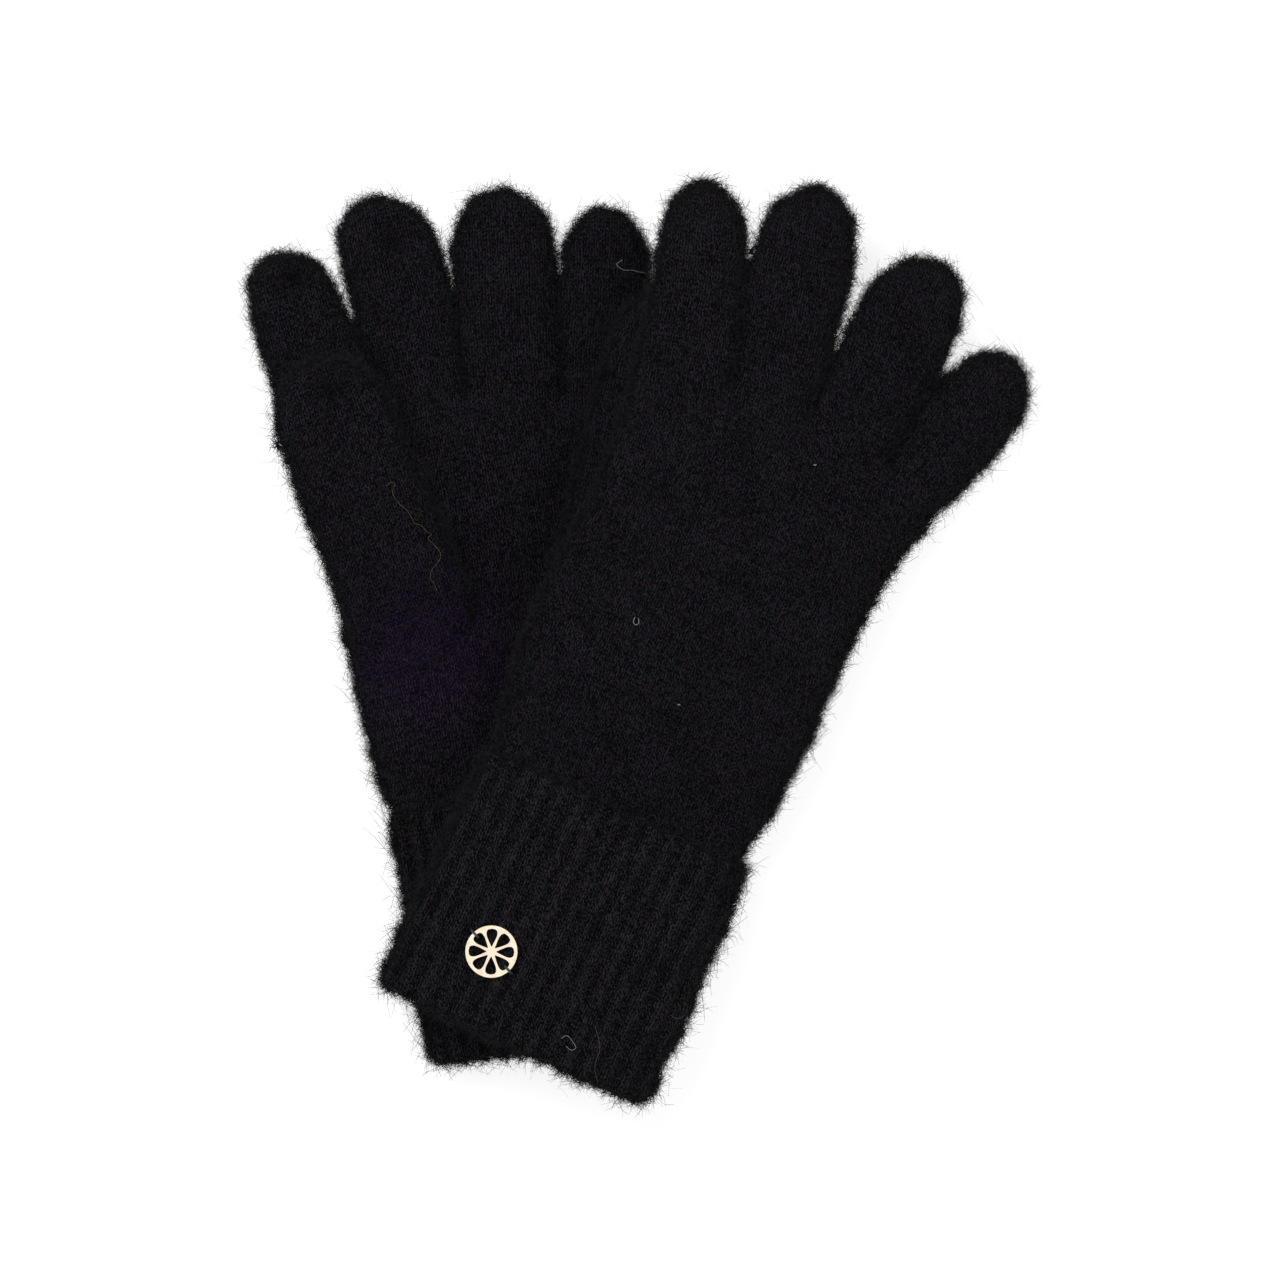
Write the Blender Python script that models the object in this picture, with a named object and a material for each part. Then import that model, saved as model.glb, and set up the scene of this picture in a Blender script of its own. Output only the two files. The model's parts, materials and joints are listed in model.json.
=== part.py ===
"""A pair of knitted touchscreen gloves, laid flat as a pair.

The left-hand glove lies palm up on the surface, with its thumb folded over its palm. The
right-hand glove lies across it, back of the hand up, with its thumb folded under its palm.
Each glove is a hollow knitted hand, four finger tubes, a thumb tube, tips knitted in
conductive yarn on the index finger and the thumb, and a ribbed cuff that is turned back.

Plan sizes (u across, v up from the cuff's fold, both in a glove's own plan) are written in
millimetres and multiplied by MM, so every length in the scene is in metres, with +Z up.
"""

import math

import bmesh
import bpy
import numpy as np
from mathutils import Matrix, Vector
from mathutils.bvhtree import BVHTree

MM = 0.001

# The knitted fabric and the clearances between its pieces.
WALL = 1.7 * MM
SEAM_GAP = 0.35 * MM
REST_GAP = 0.7 * MM

# Heights of the flattened tubes.
HAND_THICKNESS = 12.5 * MM
FINGER_THICKNESS = 11.0 * MM
THUMB_THICKNESS = 11.0 * MM

# The turned-back cuff: its depth, the slot between its two layers and the height inside it.
CUFF_LENGTH = 70.0 * MM
CUFF_SLOT = 0.6 * MM
CUFF_OPENING = 8.0 * MM
CUFF_LAP = 10.0 * MM
CUFF_CORNER = 7.0 * MM
CUFF_CORNER_PULL = 2.2 * MM
CUFF_EASE = 16.0 * MM
CUFF_FOLD_ANGLES = (0.9, 2.2)

# Fingers: full widths, how soon a root reaches its full width, the clearance at a root, and how
# far above the fabric the line of its fold lies.
FINGERS = ("index", "middle", "ring", "little")
FINGER_WIDTH = {"index": 24.2 * MM, "middle": 27.2 * MM, "ring": 27.6 * MM, "little": 24.0 * MM}
FINGER_FULL_AT = 0.6
ROOT_CLEARANCE = 1.0 * MM
ROOT_TURN = 12.0 * MM
TIP_ROUND = 1.05
TIP_ANGLES = (30.0, 55.0, 75.0)
TIP_FLATNESS = 0.7
TIP_LOW_SHARE = 0.4
APEX_SHARE = 0.45
FOLD_RISE = 0.3 * MM

# The thumb, whose mouth lies on the palm.
THUMB_WIDTH = 30.5 * MM
THUMB_ROOT_WIDTH = 33.0 * MM
THUMB_MOUTH = 24.0 * MM
THUMB_MOUTH_BACK = 3.0 * MM
THUMB_MOUTH_FALL = 2.2
THUMB_HOLE_SHARE = 0.6

# The tips knitted in conductive yarn, and the knot where that yarn starts.
TIP_LENGTH = 18.5 * MM
KNOT_SIZE = (2.4 * MM, 1.1 * MM, 1.4 * MM)

# The metal badge and the thread that sews it to the cuff.
BADGE_RADIUS = 7.0 * MM
BADGE_RIM = 0.85 * MM
BADGE_THICKNESS = 0.9 * MM
BADGE_HUB = 1.35 * MM
BADGE_SPOKE = 0.62 * MM
BADGE_PETALS = 8
PETAL_FULLNESS = 0.6
HUB_MIDDLE_SHARE = 0.35
PETAL_STEPS = 10
RIM_STEPS = 3
BADGE_AT = (-15.6 * MM, 21.3 * MM)
BADGE_TURN = math.radians(12.5)
THREAD_RADIUS = 0.32 * MM
SEWN_HOLES = (1, 5)

# How the upper glove comes down from what it lies on: its steepest fall and the ease of a bend.
DRAPE_SLOPE = 0.36
DRAPE_EASE = 5.0 * MM
DRAPE_GRID = 2.5 * MM
DRAPE_MARGIN = 160.0 * MM
RAY_START = 1.0

# Roundness of the flattened sections, and how much of the underside is pressed flat.
HAND_SQUARENESS = 2.8
FINGER_SQUARENESS = 2.5
SOLE = 0.06
FINGER_SIDES = 14
THUMB_SIDES = 16
HOLE_SIDES = 12
FINGER_RING_STEP = 15.0 * MM
THUMB_RING_STEP = 18.0 * MM
HEADING_STEP = 0.5 * MM

# How each glove lies: the middle of its cuff's fold, its turn (counter-clockwise), the edges of
# the palm above the cuff, the five points of the knuckle line, and each finger's tip and bow.
LEFT = {
    "name": "left",
    "at": (-23.0 * MM, -109.9 * MM),
    "turn": 11.0,
    "cuff_half_width": 34.2 * MM,
    "cuff_sway": 0.9 * MM,
    "hem_slant": -0.07,
    "palm_left": ((-33.2, 80), (-33.8, 100), (-34.4, 122), (-34.6, 142), (-35.6, 158)),
    "palm_right": ((36.0, 80), (39.0, 100), (42.4, 122), (46.6, 142), (51.0, 155)),
    "knuckles": ((-37.5, 170.5), (-9.9, 174.5), (10.0, 173.5), (35.6, 169.5), (54.5, 163.5)),
    "tips": {
        "index": (-30.1, 225.6),
        "middle": (-2.6, 235.4),
        "ring": (31.4, 230.7),
        "little": (57.8, 220.4),
    },
    "bows": {"index": -1.8, "middle": 0.0, "ring": -0.9, "little": 0.0},
    "thumb_root": (-17.5, 128.0),
    "thumb_tip": (-27.4, 194.3),
    "thumb_bow": -1.6,
}
RIGHT = {
    "name": "right",
    "at": (-34.3 * MM, -108.8 * MM),
    "turn": -25.0,
    "cuff_half_width": 39.5 * MM,
    "cuff_sway": -1.4 * MM,
    "hem_slant": 0.0,
    "palm_left": ((-41.0, 84), (-43.7, 104), (-43.9, 126), (-42.8, 146), (-43.6, 160)),
    "palm_right": ((37.0, 84), (38.0, 104), (37.5, 126), (37.6, 148), (39.6, 163)),
    "knuckles": ((-46.5, 171.0), (-20.5, 180.5), (1.0, 184.0), (24.5, 180.5), (43.5, 176.0)),
    "tips": {
        "index": (-51.5, 233.7),
        "middle": (-24.0, 245.0),
        "ring": (10.9, 240.4),
        "little": (40.3, 225.3),
    },
    "bows": {"index": 2.4, "middle": 1.1, "ring": 1.5, "little": 1.5},
    "thumb_root": (-27.8, 128.0),
    "thumb_tip": (-43.8, 204.0),
    "thumb_bow": -1.0,
}

BLACK_YARN = ((0.012, 0.012, 0.015), 0.95, 0.0)
CONDUCTIVE_YARN = ((0.014, 0.014, 0.018), 0.85, 0.0)
PALE_GOLD = ((0.80, 0.70, 0.52), 0.22, 1.0)
BLACK_THREAD = ((0.01, 0.01, 0.012), 0.7, 0.0)


def clear_scene():
    """Removes every object that the file opened with."""
    for old in list(bpy.data.objects):
        bpy.data.objects.remove(old, do_unlink=True)


def smooth(t):
    """Eases from 0 to 1."""
    t = min(max(t, 0.0), 1.0)
    return t * t * (3.0 - 2.0 * t)


def mix(a, b, t):
    """Goes from a to b as t goes from 0 to 1."""
    return a + (b - a) * t


def in_plan(point):
    """A plan point given in millimetres, in metres."""
    return Vector((point[0], point[1])) * MM


def square_to(direction):
    """The plan direction a quarter turn clockwise from the one given."""
    return Vector((direction[1], -direction[0])).normalized()


class Lay:
    """Turns a glove's own plan into the scene: its place, its turn and the ground under it."""

    def __init__(self, spec, ground=None):
        turn = math.radians(spec["turn"])
        self.at = Vector(spec["at"])
        self.across = Vector((math.cos(turn), math.sin(turn)))
        self.along = Vector((-math.sin(turn), math.cos(turn)))
        self.ground = ground

    def plan(self, u, v):
        """The place of (u, v) seen from above."""
        return self.at + self.across * u + self.along * v

    def point(self, u, v, z):
        """The place of (u, v) at height z over the ground there."""
        flat = self.plan(u, v)
        base = self.ground(flat.x, flat.y) if self.ground else 0.0
        return Vector((flat.x, flat.y, base + z))


# Meshes.


def material(name, look):
    """One Principled material: colour, roughness and metallic value."""
    colour, roughness, metallic = look
    made = bpy.data.materials.new(name)
    made.use_nodes = True
    shader = made.node_tree.nodes["Principled BSDF"]
    shader.inputs["Base Color"].default_value = (*colour, 1.0)
    shader.inputs["Roughness"].default_value = roughness
    shader.inputs["Metallic"].default_value = metallic
    return made


def make_object(name, bm, look, frame=None):
    """Turns a bmesh in scene coordinates into an object whose origin and axes are the frame."""
    bmesh.ops.recalc_face_normals(bm, faces=bm.faces)
    if bm.calc_volume(signed=True) < 0.0:
        bmesh.ops.reverse_faces(bm, faces=bm.faces)
    frame = frame or Matrix.Identity(4)
    bm.transform(frame.inverted())
    mesh = bpy.data.meshes.new(name)
    bm.to_mesh(mesh)
    bm.free()
    mesh.shade_smooth()
    mesh.set_sharp_from_angle(angle=math.radians(50.0))
    mesh.materials.append(material(name, look))
    made = bpy.data.objects.new(name, mesh)
    made.matrix_world = frame
    bpy.context.scene.collection.objects.link(made)
    return made


def join_rings(bm, first, second):
    """Quads between two rings of as many points."""
    count = len(first)
    for k in range(count):
        after = (k + 1) % count
        bm.faces.new((first[k], first[after], second[after], second[k]))


def shell(outer, inner, far_points=None):
    """A tube with a wall: rings of its outer and inner faces, open or with a closed far end."""
    bm = bmesh.new()
    skins = []
    for rings in (outer, inner):
        skins.append([[bm.verts.new(p) for p in ring] for ring in rings])
    for skin in skins:
        for near, far in zip(skin, skin[1:]):
            join_rings(bm, near, far)
    join_rings(bm, skins[0][0], skins[1][0])
    if far_points is None:
        join_rings(bm, skins[0][-1], skins[1][-1])
        return bm
    for skin, place in zip(skins, far_points):
        last = skin[-1]
        apex = bm.verts.new(place)
        for k in range(len(last)):
            bm.faces.new((last[k], last[(k + 1) % len(last)], apex))
    return bm


def hinge_frame(place, axis):
    """An origin on a joint's axis, with X along the axis and Z as near up as it can be."""
    x = Vector(axis).normalized()
    y = Vector((0.0, 0.0, 1.0)).cross(x).normalized()
    turn = Matrix((x, y, x.cross(y))).transposed().to_4x4()
    return Matrix.Translation(place) @ turn


# Sections of the flattened tubes.


def pressed(share):
    """A height share of a section, with its lowest part pressed flat on the surface."""
    return max(share - SOLE, 0.0) / (1.0 - SOLE)


def round_section(half_width, height, sides, squareness=FINGER_SQUARENESS):
    """Points (across, up) of a flattened tube that stands on its flat underside."""
    power = 2.0 / squareness
    points = []
    for k in range(sides):
        angle = 2.0 * math.pi * (k + 0.5) / sides
        c, s = math.cos(angle), math.sin(angle)
        x = math.copysign(abs(c) ** power, c)
        y = 0.5 * (1.0 + math.copysign(abs(s) ** power, s))
        points.append((half_width * x, height * pressed(y)))
    return points


def shares_across(knuckles):
    """Where the hand's section has points: at its edges and at and between the knuckle points."""
    corners = [Vector(k) for k in knuckles]
    runs = [(b - a).length for a, b in zip(corners, corners[1:])]
    marks = np.concatenate(([0.0], np.cumsum(runs))) / sum(runs)
    k1, k2, k3 = marks[1:4]
    near_edge = (0.02, 0.1)
    shares = [0.0, *near_edge, mix(near_edge[1], k1, 0.5), k1, mix(k1, k2, 0.5), k2]
    shares += [mix(k2, k3, 0.5), k3, mix(k3, 1.0 - near_edge[1], 0.5)]
    shares += [1.0 - s for s in reversed(near_edge)] + [1.0]
    return shares, marks


def along_knuckles(spec, marks, share):
    """The point of the knuckle line at a share of its length."""
    corners = [in_plan(k) for k in spec["knuckles"]]
    for n in range(4):
        if share <= marks[n + 1] + 1e-9:
            part = (share - marks[n]) / (marks[n + 1] - marks[n])
            return corners[n].lerp(corners[n + 1], part)
    return corners[-1]


def hand_ring(shares, place_at, low, height):
    """A ring over the top from the left edge to the right, and back along the underside."""
    ring = []
    count = len(shares)
    for k in list(range(count)) + list(range(count - 2, 0, -1)):
        on_top = len(ring) < count
        bulge = max(0.0, 1.0 - abs(2.0 * shares[k] - 1.0) ** HAND_SQUARENESS)
        bulge = 0.5 * bulge ** (1.0 / HAND_SQUARENESS)
        share = 0.5 + bulge if on_top else 0.5 - bulge
        ring.append(place_at(shares[k], low + height * pressed(share)))
    return ring


# The hand.


def cuff_middle(spec, v):
    """How far the cuff's middle has swayed aside at v."""
    return spec["cuff_sway"] * v / CUFF_LENGTH


def cuff_half_width(spec, v, inset=0.0):
    """Half the cuff's width at v, less near its rounded corners, and less an inset."""
    near = max(0.0, 1.0 - v / CUFF_CORNER)
    taper = abs(spec["cuff_sway"]) * v / CUFF_LENGTH
    return spec["cuff_half_width"] - taper - CUFF_CORNER_PULL * near * near - inset


def hand_stations(spec):
    """Left edge, right edge, bend to the knuckle line, lift and height of each ring."""
    layer = WALL + CUFF_SLOT
    tube = CUFF_OPENING + 2.0 * WALL
    stations = []
    for v in (CUFF_LENGTH - CUFF_LAP + SEAM_GAP, CUFF_LENGTH):
        half = cuff_half_width(spec, v, layer)
        middle = cuff_middle(spec, v)
        ends = Vector((middle - half, v)), Vector((middle + half, v))
        stations.append((*ends, 0.0, layer, tube))
    edges = list(zip(spec["palm_left"], spec["palm_right"]))
    for n, (left, right) in enumerate(edges):
        past = left[1] * MM - CUFF_LENGTH
        ease = smooth(past / CUFF_EASE)
        bend = smooth((n - 1) / len(edges))
        lift = mix(layer, 0.0, ease)
        height = mix(tube, HAND_THICKNESS, ease)
        stations.append((in_plan(left), in_plan(right), bend, lift, height))
    ends = in_plan(spec["knuckles"][0]), in_plan(spec["knuckles"][-1])
    back = Vector((0.0, SEAM_GAP))
    stations.append((ends[0] - back, ends[1] - back, 1.0, 0.0, HAND_THICKNESS))
    return stations


def hand_skin(spec, lay, inset):
    """The rings of the hand's outer face, or of its inner face at an inset."""
    shares, marks = shares_across(spec["knuckles"])
    first, last = in_plan(spec["knuckles"][0]), in_plan(spec["knuckles"][-1])
    rings = []
    for left, right, bend, lift, height in hand_stations(spec):
        side = (right - left).normalized() * inset

        def place_at(share, z, left=left + side, right=right - side, bend=bend):
            straight = left.lerp(right, share)
            knuckle = along_knuckles(spec, marks, share) - first.lerp(last, share)
            plan = straight + knuckle * bend
            return lay.point(plan.x, plan.y, z)

        rings.append(hand_ring(shares, place_at, lift + inset, height - 2.0 * inset))
    return rings


def make_hand(spec, lay, hole):
    """The hollow hand, from under the turned-back cuff to the knuckles, with the thumb's hole."""
    bm = shell(hand_skin(spec, lay, 0.0), hand_skin(spec, lay, WALL))
    hand = make_object(spec["name"] + "_hand", bm, BLACK_YARN)
    cut = hand.modifiers.new("thumb_hole", "BOOLEAN")
    cut.object = hole
    cut.solver = "EXACT"
    return hand


# The turned-back cuff.


def cuff_path():
    """The cuff's section from its rim, down inside, round the fold and up outside: (o, v)."""
    whole = 2.0 * WALL + CUFF_SLOT
    top_inside = CUFF_LENGTH - CUFF_LAP
    fold = 0.5 * whole
    levels = [mix(fold, CUFF_LENGTH, k / 4.0) for k in range(5)]
    inside = [v for v in levels if v < top_inside] + [top_inside]
    path = [(0.0, v) for v in reversed(inside)]
    path += [(fold - fold * math.cos(a), fold - fold * math.sin(a)) for a in CUFF_FOLD_ANGLES]
    path += [(whole, v) for v in levels]
    path += [(whole - WALL, v) for v in reversed(levels)]
    path += [(WALL, v) for v in inside]
    return path


def make_cuff(spec, lay):
    """The ribbed cuff: its inner layer, the fold at the wrist end and the layer turned back."""
    whole = 2.0 * WALL + CUFF_SLOT
    shares = shares_across(spec["knuckles"])[0]
    bm = bmesh.new()
    rings = []
    for offset, v in cuff_path():
        half = cuff_half_width(spec, v, whole - offset)
        middle = cuff_middle(spec, v)
        slant = spec["hem_slant"] * (1.0 - v / CUFF_LENGTH)

        def place_at(share, z, half=half, middle=middle, v=v, slant=slant):
            u = middle + (2.0 * share - 1.0) * half
            return lay.point(u, v + slant * u, z)

        low = whole - offset
        points = hand_ring(shares, place_at, low, CUFF_OPENING + 2.0 * offset)
        rings.append([bm.verts.new(p) for p in points])
    for near, far in zip(rings, rings[1:] + rings[:1]):
        join_rings(bm, near, far)
    return make_object(spec["name"] + "_cuff", bm, BLACK_YARN)


# Fingers.


class Finger:
    """A finger's centre line, widths and sections, from its root on the knuckle line."""

    def __init__(self, spec, finger):
        number = FINGERS.index(finger)
        self.name = spec["name"] + "_" + finger
        self.left = in_plan(spec["knuckles"][number])
        self.right = in_plan(spec["knuckles"][number + 1])
        self.root = (self.left + self.right) * 0.5
        self.tip = in_plan(spec["tips"][finger])
        self.bow = spec["bows"][finger] * MM
        self.length = (self.tip - self.root).length
        self.half_root = 0.5 * (self.right - self.left).length - ROOT_CLEARANCE
        self.half_width = 0.5 * FINGER_WIDTH[finger]
        self.cap = self.half_width * TIP_ROUND

    def centre(self, x):
        """The centre line's plan point, x along it."""
        chord = (self.tip - self.root).normalized()
        t = x / self.length
        return self.root + chord * x + square_to(chord) * (4.0 * self.bow * t * (1.0 - t))

    def across(self, x):
        """The section's plan direction: the knuckle line's at the root, then square."""
        heading = self.centre(x + HEADING_STEP) - self.centre(x - HEADING_STEP)
        knuckle = (self.right - self.left).normalized()
        return knuckle.lerp(square_to(heading), smooth(x / ROOT_TURN)).normalized()

    def ring(self, lay, x, shrink, inset):
        """A ring at x, less what its rounded end takes off, at an inset from the outside."""
        half = mix(self.half_root, self.half_width, smooth(x / (FINGER_FULL_AT * self.length)))
        height = (FINGER_THICKNESS - 2.0 * inset) * shrink**TIP_FLATNESS
        low = TIP_LOW_SHARE * (FINGER_THICKNESS - height)
        if shrink == 1.0:
            low = inset
        middle = self.centre(x)
        side = self.across(x)
        ring = []
        for a, z in round_section((half - inset) * shrink, height, FINGER_SIDES):
            plan = middle + side * a
            ring.append(lay.point(plan.x, plan.y, low + z))
        return ring

    def skin(self, lay, start, end, inset):
        """Rings from start to end, or over the rounded tip where the end is the finger's."""
        shoulder = self.length - self.cap
        closed = end >= self.length
        last = min(end, shoulder)
        count = max(1, math.ceil((last - start) / FINGER_RING_STEP))
        rings = []
        for k in range(count + 1):
            rings.append(self.ring(lay, mix(start, last, k / count), 1.0, inset))
        if not closed:
            return rings, None
        for degrees in TIP_ANGLES:
            angle = math.radians(degrees)
            x = shoulder + (self.cap - inset) * math.sin(angle)
            rings.append(self.ring(lay, x, math.cos(angle), inset))
        apex = self.centre(self.length - inset)
        return rings, lay.point(apex.x, apex.y, APEX_SHARE * FINGER_THICKNESS)

    def solid(self, lay, start, end):
        """The tube from start to end."""
        outer, outer_apex = self.skin(lay, start, end, 0.0)
        inner, inner_apex = self.skin(lay, start, end, WALL)
        apexes = None if outer_apex is None else (outer_apex, inner_apex)
        return shell(outer, inner, apexes)

    def hinge(self, lay, x):
        """The fold across the tube's top at x, along the slope that the tube has there."""
        middle = self.centre(x)
        heading = self.centre(x + HEADING_STEP) - self.centre(x - HEADING_STEP)
        side = square_to(heading) * self.half_root
        left, top, right = (
            lay.point(plan.x, plan.y, FINGER_THICKNESS + FOLD_RISE)
            for plan in (middle - side, middle, middle + side)
        )
        return hinge_frame(top, right - left)


def make_finger(spec, lay, finger, at_root):
    """A finger tube. The index finger's end is knitted in conductive yarn, as its own piece."""
    shape = Finger(spec, finger)
    fold = shape.hinge(lay, 0.0)
    if finger != "index":
        return [make_object(shape.name, shape.solid(lay, 0.0, shape.length), BLACK_YARN, fold)]
    change = shape.length - TIP_LENGTH
    tube = shape.solid(lay, 0.0, change - SEAM_GAP)
    tip = shape.solid(lay, change, shape.length)
    tip_fold = fold if at_root else shape.hinge(lay, change)
    return [
        make_object(shape.name, tube, BLACK_YARN, fold),
        make_object(shape.name + "_tip", tip, CONDUCTIVE_YARN, tip_fold),
    ]


# The thumb.


class Thumb:
    """A thumb tube whose mouth lies flat on the palm, at a height, over it or under it."""

    def __init__(self, spec, lay, level, side):
        self.name = spec["name"] + "_thumb"
        self.lay = lay
        self.level = level
        self.side = side
        self.root = in_plan(spec["thumb_root"])
        self.tip = in_plan(spec["thumb_tip"])
        self.bow = spec["thumb_bow"] * MM
        self.length = (self.tip - self.root).length
        self.heading = (self.tip - self.root).normalized()
        self.cap = 0.5 * THUMB_WIDTH * TIP_ROUND

    def centre(self, x):
        """The centre line's plan point, x past the mouth's front edge."""
        t = max(x, 0.0) / self.length
        sway = 4.0 * self.bow * t * (1.0 - t)
        return self.root + self.heading * x + square_to(self.heading) * sway

    def across(self, x):
        """The section's plan direction at x."""
        return square_to(self.centre(x + HEADING_STEP) - self.centre(x - HEADING_STEP))

    def place(self, x, a, back, up):
        """A point a across and back from the section at x, and up from the palm's side."""
        plan = self.centre(x) + self.across(x) * a - self.heading * back
        flat = self.lay.plan(plan.x, plan.y)
        return Vector((flat.x, flat.y, self.level + self.side * up))

    def mouth_ring(self, turn, inset):
        """A ring that has turned from lying on the palm (0) to standing up (1)."""
        lying = (1.0 - turn) ** THUMB_MOUTH_FALL
        tall = mix(THUMB_THICKNESS, THUMB_MOUTH, lying)
        angle = 0.5 * math.pi * turn
        half = 0.5 * THUMB_ROOT_WIDTH - inset
        ring = []
        for a, y in round_section(half, tall - 2.0 * inset, THUMB_SIDES):
            reach = y + inset
            shift = THUMB_MOUTH_BACK * (turn - 1.0)
            back = reach * math.cos(angle)
            ring.append(self.place(shift, a, back, reach * math.sin(angle)))
        return ring

    def ring(self, x, shrink, inset):
        """A standing ring at x."""
        half = 0.5 * mix(THUMB_ROOT_WIDTH, THUMB_WIDTH, smooth(x / self.length)) - inset
        height = (THUMB_THICKNESS - 2.0 * inset) * shrink**TIP_FLATNESS
        low = TIP_LOW_SHARE * (THUMB_THICKNESS - height)
        if shrink == 1.0:
            low = inset
        section = round_section(half * shrink, height, THUMB_SIDES)
        return [self.place(x, a, 0.0, low + z) for a, z in section]

    def skin(self, start, end, inset):
        """Rings from start to end. A start of None is the mouth on the palm."""
        rings = []
        if start is None:
            rings = [self.mouth_ring(k / 3.0, inset) for k in range(3)]
            start = 0.0
        shoulder = self.length - self.cap
        last = min(end, shoulder)
        count = max(1, math.ceil((last - start) / THUMB_RING_STEP))
        for k in range(count + 1):
            rings.append(self.ring(mix(start, last, k / count), 1.0, inset))
        if end < self.length:
            return rings, None
        for degrees in TIP_ANGLES:
            angle = math.radians(degrees)
            x = shoulder + (self.cap - inset) * math.sin(angle)
            rings.append(self.ring(x, math.cos(angle), inset))
        return rings, self.place(self.length - inset, 0.0, 0.0, APEX_SHARE * THUMB_THICKNESS)

    def solid(self, start, end):
        """The tube from start to end."""
        outer, outer_apex = self.skin(start, end, 0.0)
        inner, inner_apex = self.skin(start, end, WALL)
        apexes = None if outer_apex is None else (outer_apex, inner_apex)
        return shell(outer, inner, apexes)

    def hole_cutter(self, low, high):
        """The cutter for the palm's hole at the thumb's mouth, from one height to another."""
        half = 0.5 * THUMB_ROOT_WIDTH * THUMB_HOLE_SHARE
        deep = (THUMB_MOUTH - 2.0 * WALL) * THUMB_HOLE_SHARE
        middle = 0.5 * THUMB_MOUTH + THUMB_MOUTH_BACK
        bm = bmesh.new()
        rings = []
        for z in (low, high):
            points = []
            for k in range(HOLE_SIDES):
                angle = 2.0 * math.pi * k / HOLE_SIDES
                a = half * math.cos(angle)
                back = middle + 0.5 * deep * math.sin(angle)
                place = self.place(0.0, a, back, 0.0)
                points.append(bm.verts.new((place.x, place.y, z)))
            rings.append(points)
        join_rings(bm, *rings)
        for ring in rings:
            bm.faces.new(ring)
        cutter = make_object(self.name + "_hole", bm, BLACK_YARN)
        cutter.hide_render = True
        cutter.display_type = "WIRE"
        return cutter

    def side_axis(self):
        """The level direction across the thumb."""
        side = square_to(self.heading)
        axis = self.lay.across * side.x + self.lay.along * side.y
        return Vector((axis.x, axis.y, 0.0))

    def lift_hinge(self):
        """The fold at the back of the mouth, on the palm, that the thumb lifts about."""
        place = self.place(0.0, 0.0, THUMB_MOUTH + THUMB_MOUTH_BACK, 0.0)
        return hinge_frame(place, self.side_axis())

    def swing_hinge(self):
        """The middle of the mouth, that the thumb swings about in its own plane."""
        place = self.place(0.0, 0.0, 0.5 * THUMB_MOUTH + THUMB_MOUTH_BACK, 0.0)
        return hinge_frame(place, self.side_axis())


def make_thumb(thumb, frame):
    """The thumb tube and its end in conductive yarn."""
    change = thumb.length - TIP_LENGTH
    tube = thumb.solid(None, change - SEAM_GAP)
    tip = thumb.solid(change, thumb.length)
    return [
        make_object(thumb.name, tube, BLACK_YARN, frame),
        make_object(thumb.name + "_tip", tip, CONDUCTIVE_YARN, frame),
    ]


def make_knot(name, place, out, frame):
    """The knotted end of the conductive yarn, a bead at a tube's side."""
    bm = bmesh.new()
    bmesh.ops.create_icosphere(bm, subdivisions=1, radius=0.5)
    side = Vector((out.x, out.y, 0.0)).normalized()
    up = Vector((0.0, 0.0, 1.0))
    turn = Matrix((up.cross(side), side, up)).transposed().to_4x4()
    bm.transform(Matrix.Translation(place) @ turn @ Matrix.Diagonal((*KNOT_SIZE, 1.0)))
    return make_object(name, bm, CONDUCTIVE_YARN, frame)


# The ground under the upper glove.


def top_heights(pieces, low, high):
    """A grid of the highest point of the pieces over each spot, 0 where there is none."""
    depsgraph = bpy.context.evaluated_depsgraph_get()
    trees = [BVHTree.FromObject(p, depsgraph) for p in pieces]
    places = [p.matrix_world for p in pieces]
    backs = [m.inverted() for m in places]
    columns = np.arange(low[0], high[0], DRAPE_GRID)
    rows = np.arange(low[1], high[1], DRAPE_GRID)
    heights = np.zeros((len(columns), len(rows)))
    down = Vector((0.0, 0.0, -1.0))
    for i, x in enumerate(columns):
        for j, y in enumerate(rows):
            for tree, place, back in zip(trees, places, backs):
                start = back @ Vector((x, y, RAY_START))
                hit = tree.ray_cast(start, back.to_3x3() @ down)[0]
                if hit is not None:
                    heights[i, j] = max(heights[i, j], (place @ hit).z)
    return heights


def spread(grid, fall, reach):
    """Each value carried outward as far as reach, less what the fall takes per metre."""
    steps = math.ceil(reach / DRAPE_GRID)
    padded = np.pad(grid, steps)
    result = grid.copy()
    wide, deep = grid.shape
    for i in range(-steps, steps + 1):
        for j in range(-steps, steps + 1):
            away = math.hypot(i, j) * DRAPE_GRID
            if away <= reach + 1e-9:
                part = padded[steps + i : steps + i + wide, steps + j : steps + j + deep]
                result = np.maximum(result, part - fall * away)
    return result


def blur(grid, reach):
    """The mean over a disc that eases off to its edge."""
    steps = math.ceil(reach / DRAPE_GRID)
    padded = np.pad(grid, steps, mode="edge")
    total = np.zeros_like(grid)
    weights = 0.0
    wide, deep = grid.shape
    for i in range(-steps, steps + 1):
        for j in range(-steps, steps + 1):
            away = math.hypot(i, j) * DRAPE_GRID
            weight = max(0.0, math.cos(0.5 * math.pi * min(away / reach, 1.0)))
            total += weight * padded[steps + i : steps + i + wide, steps + j : steps + j + deep]
            weights += weight
    return total / weights


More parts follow.
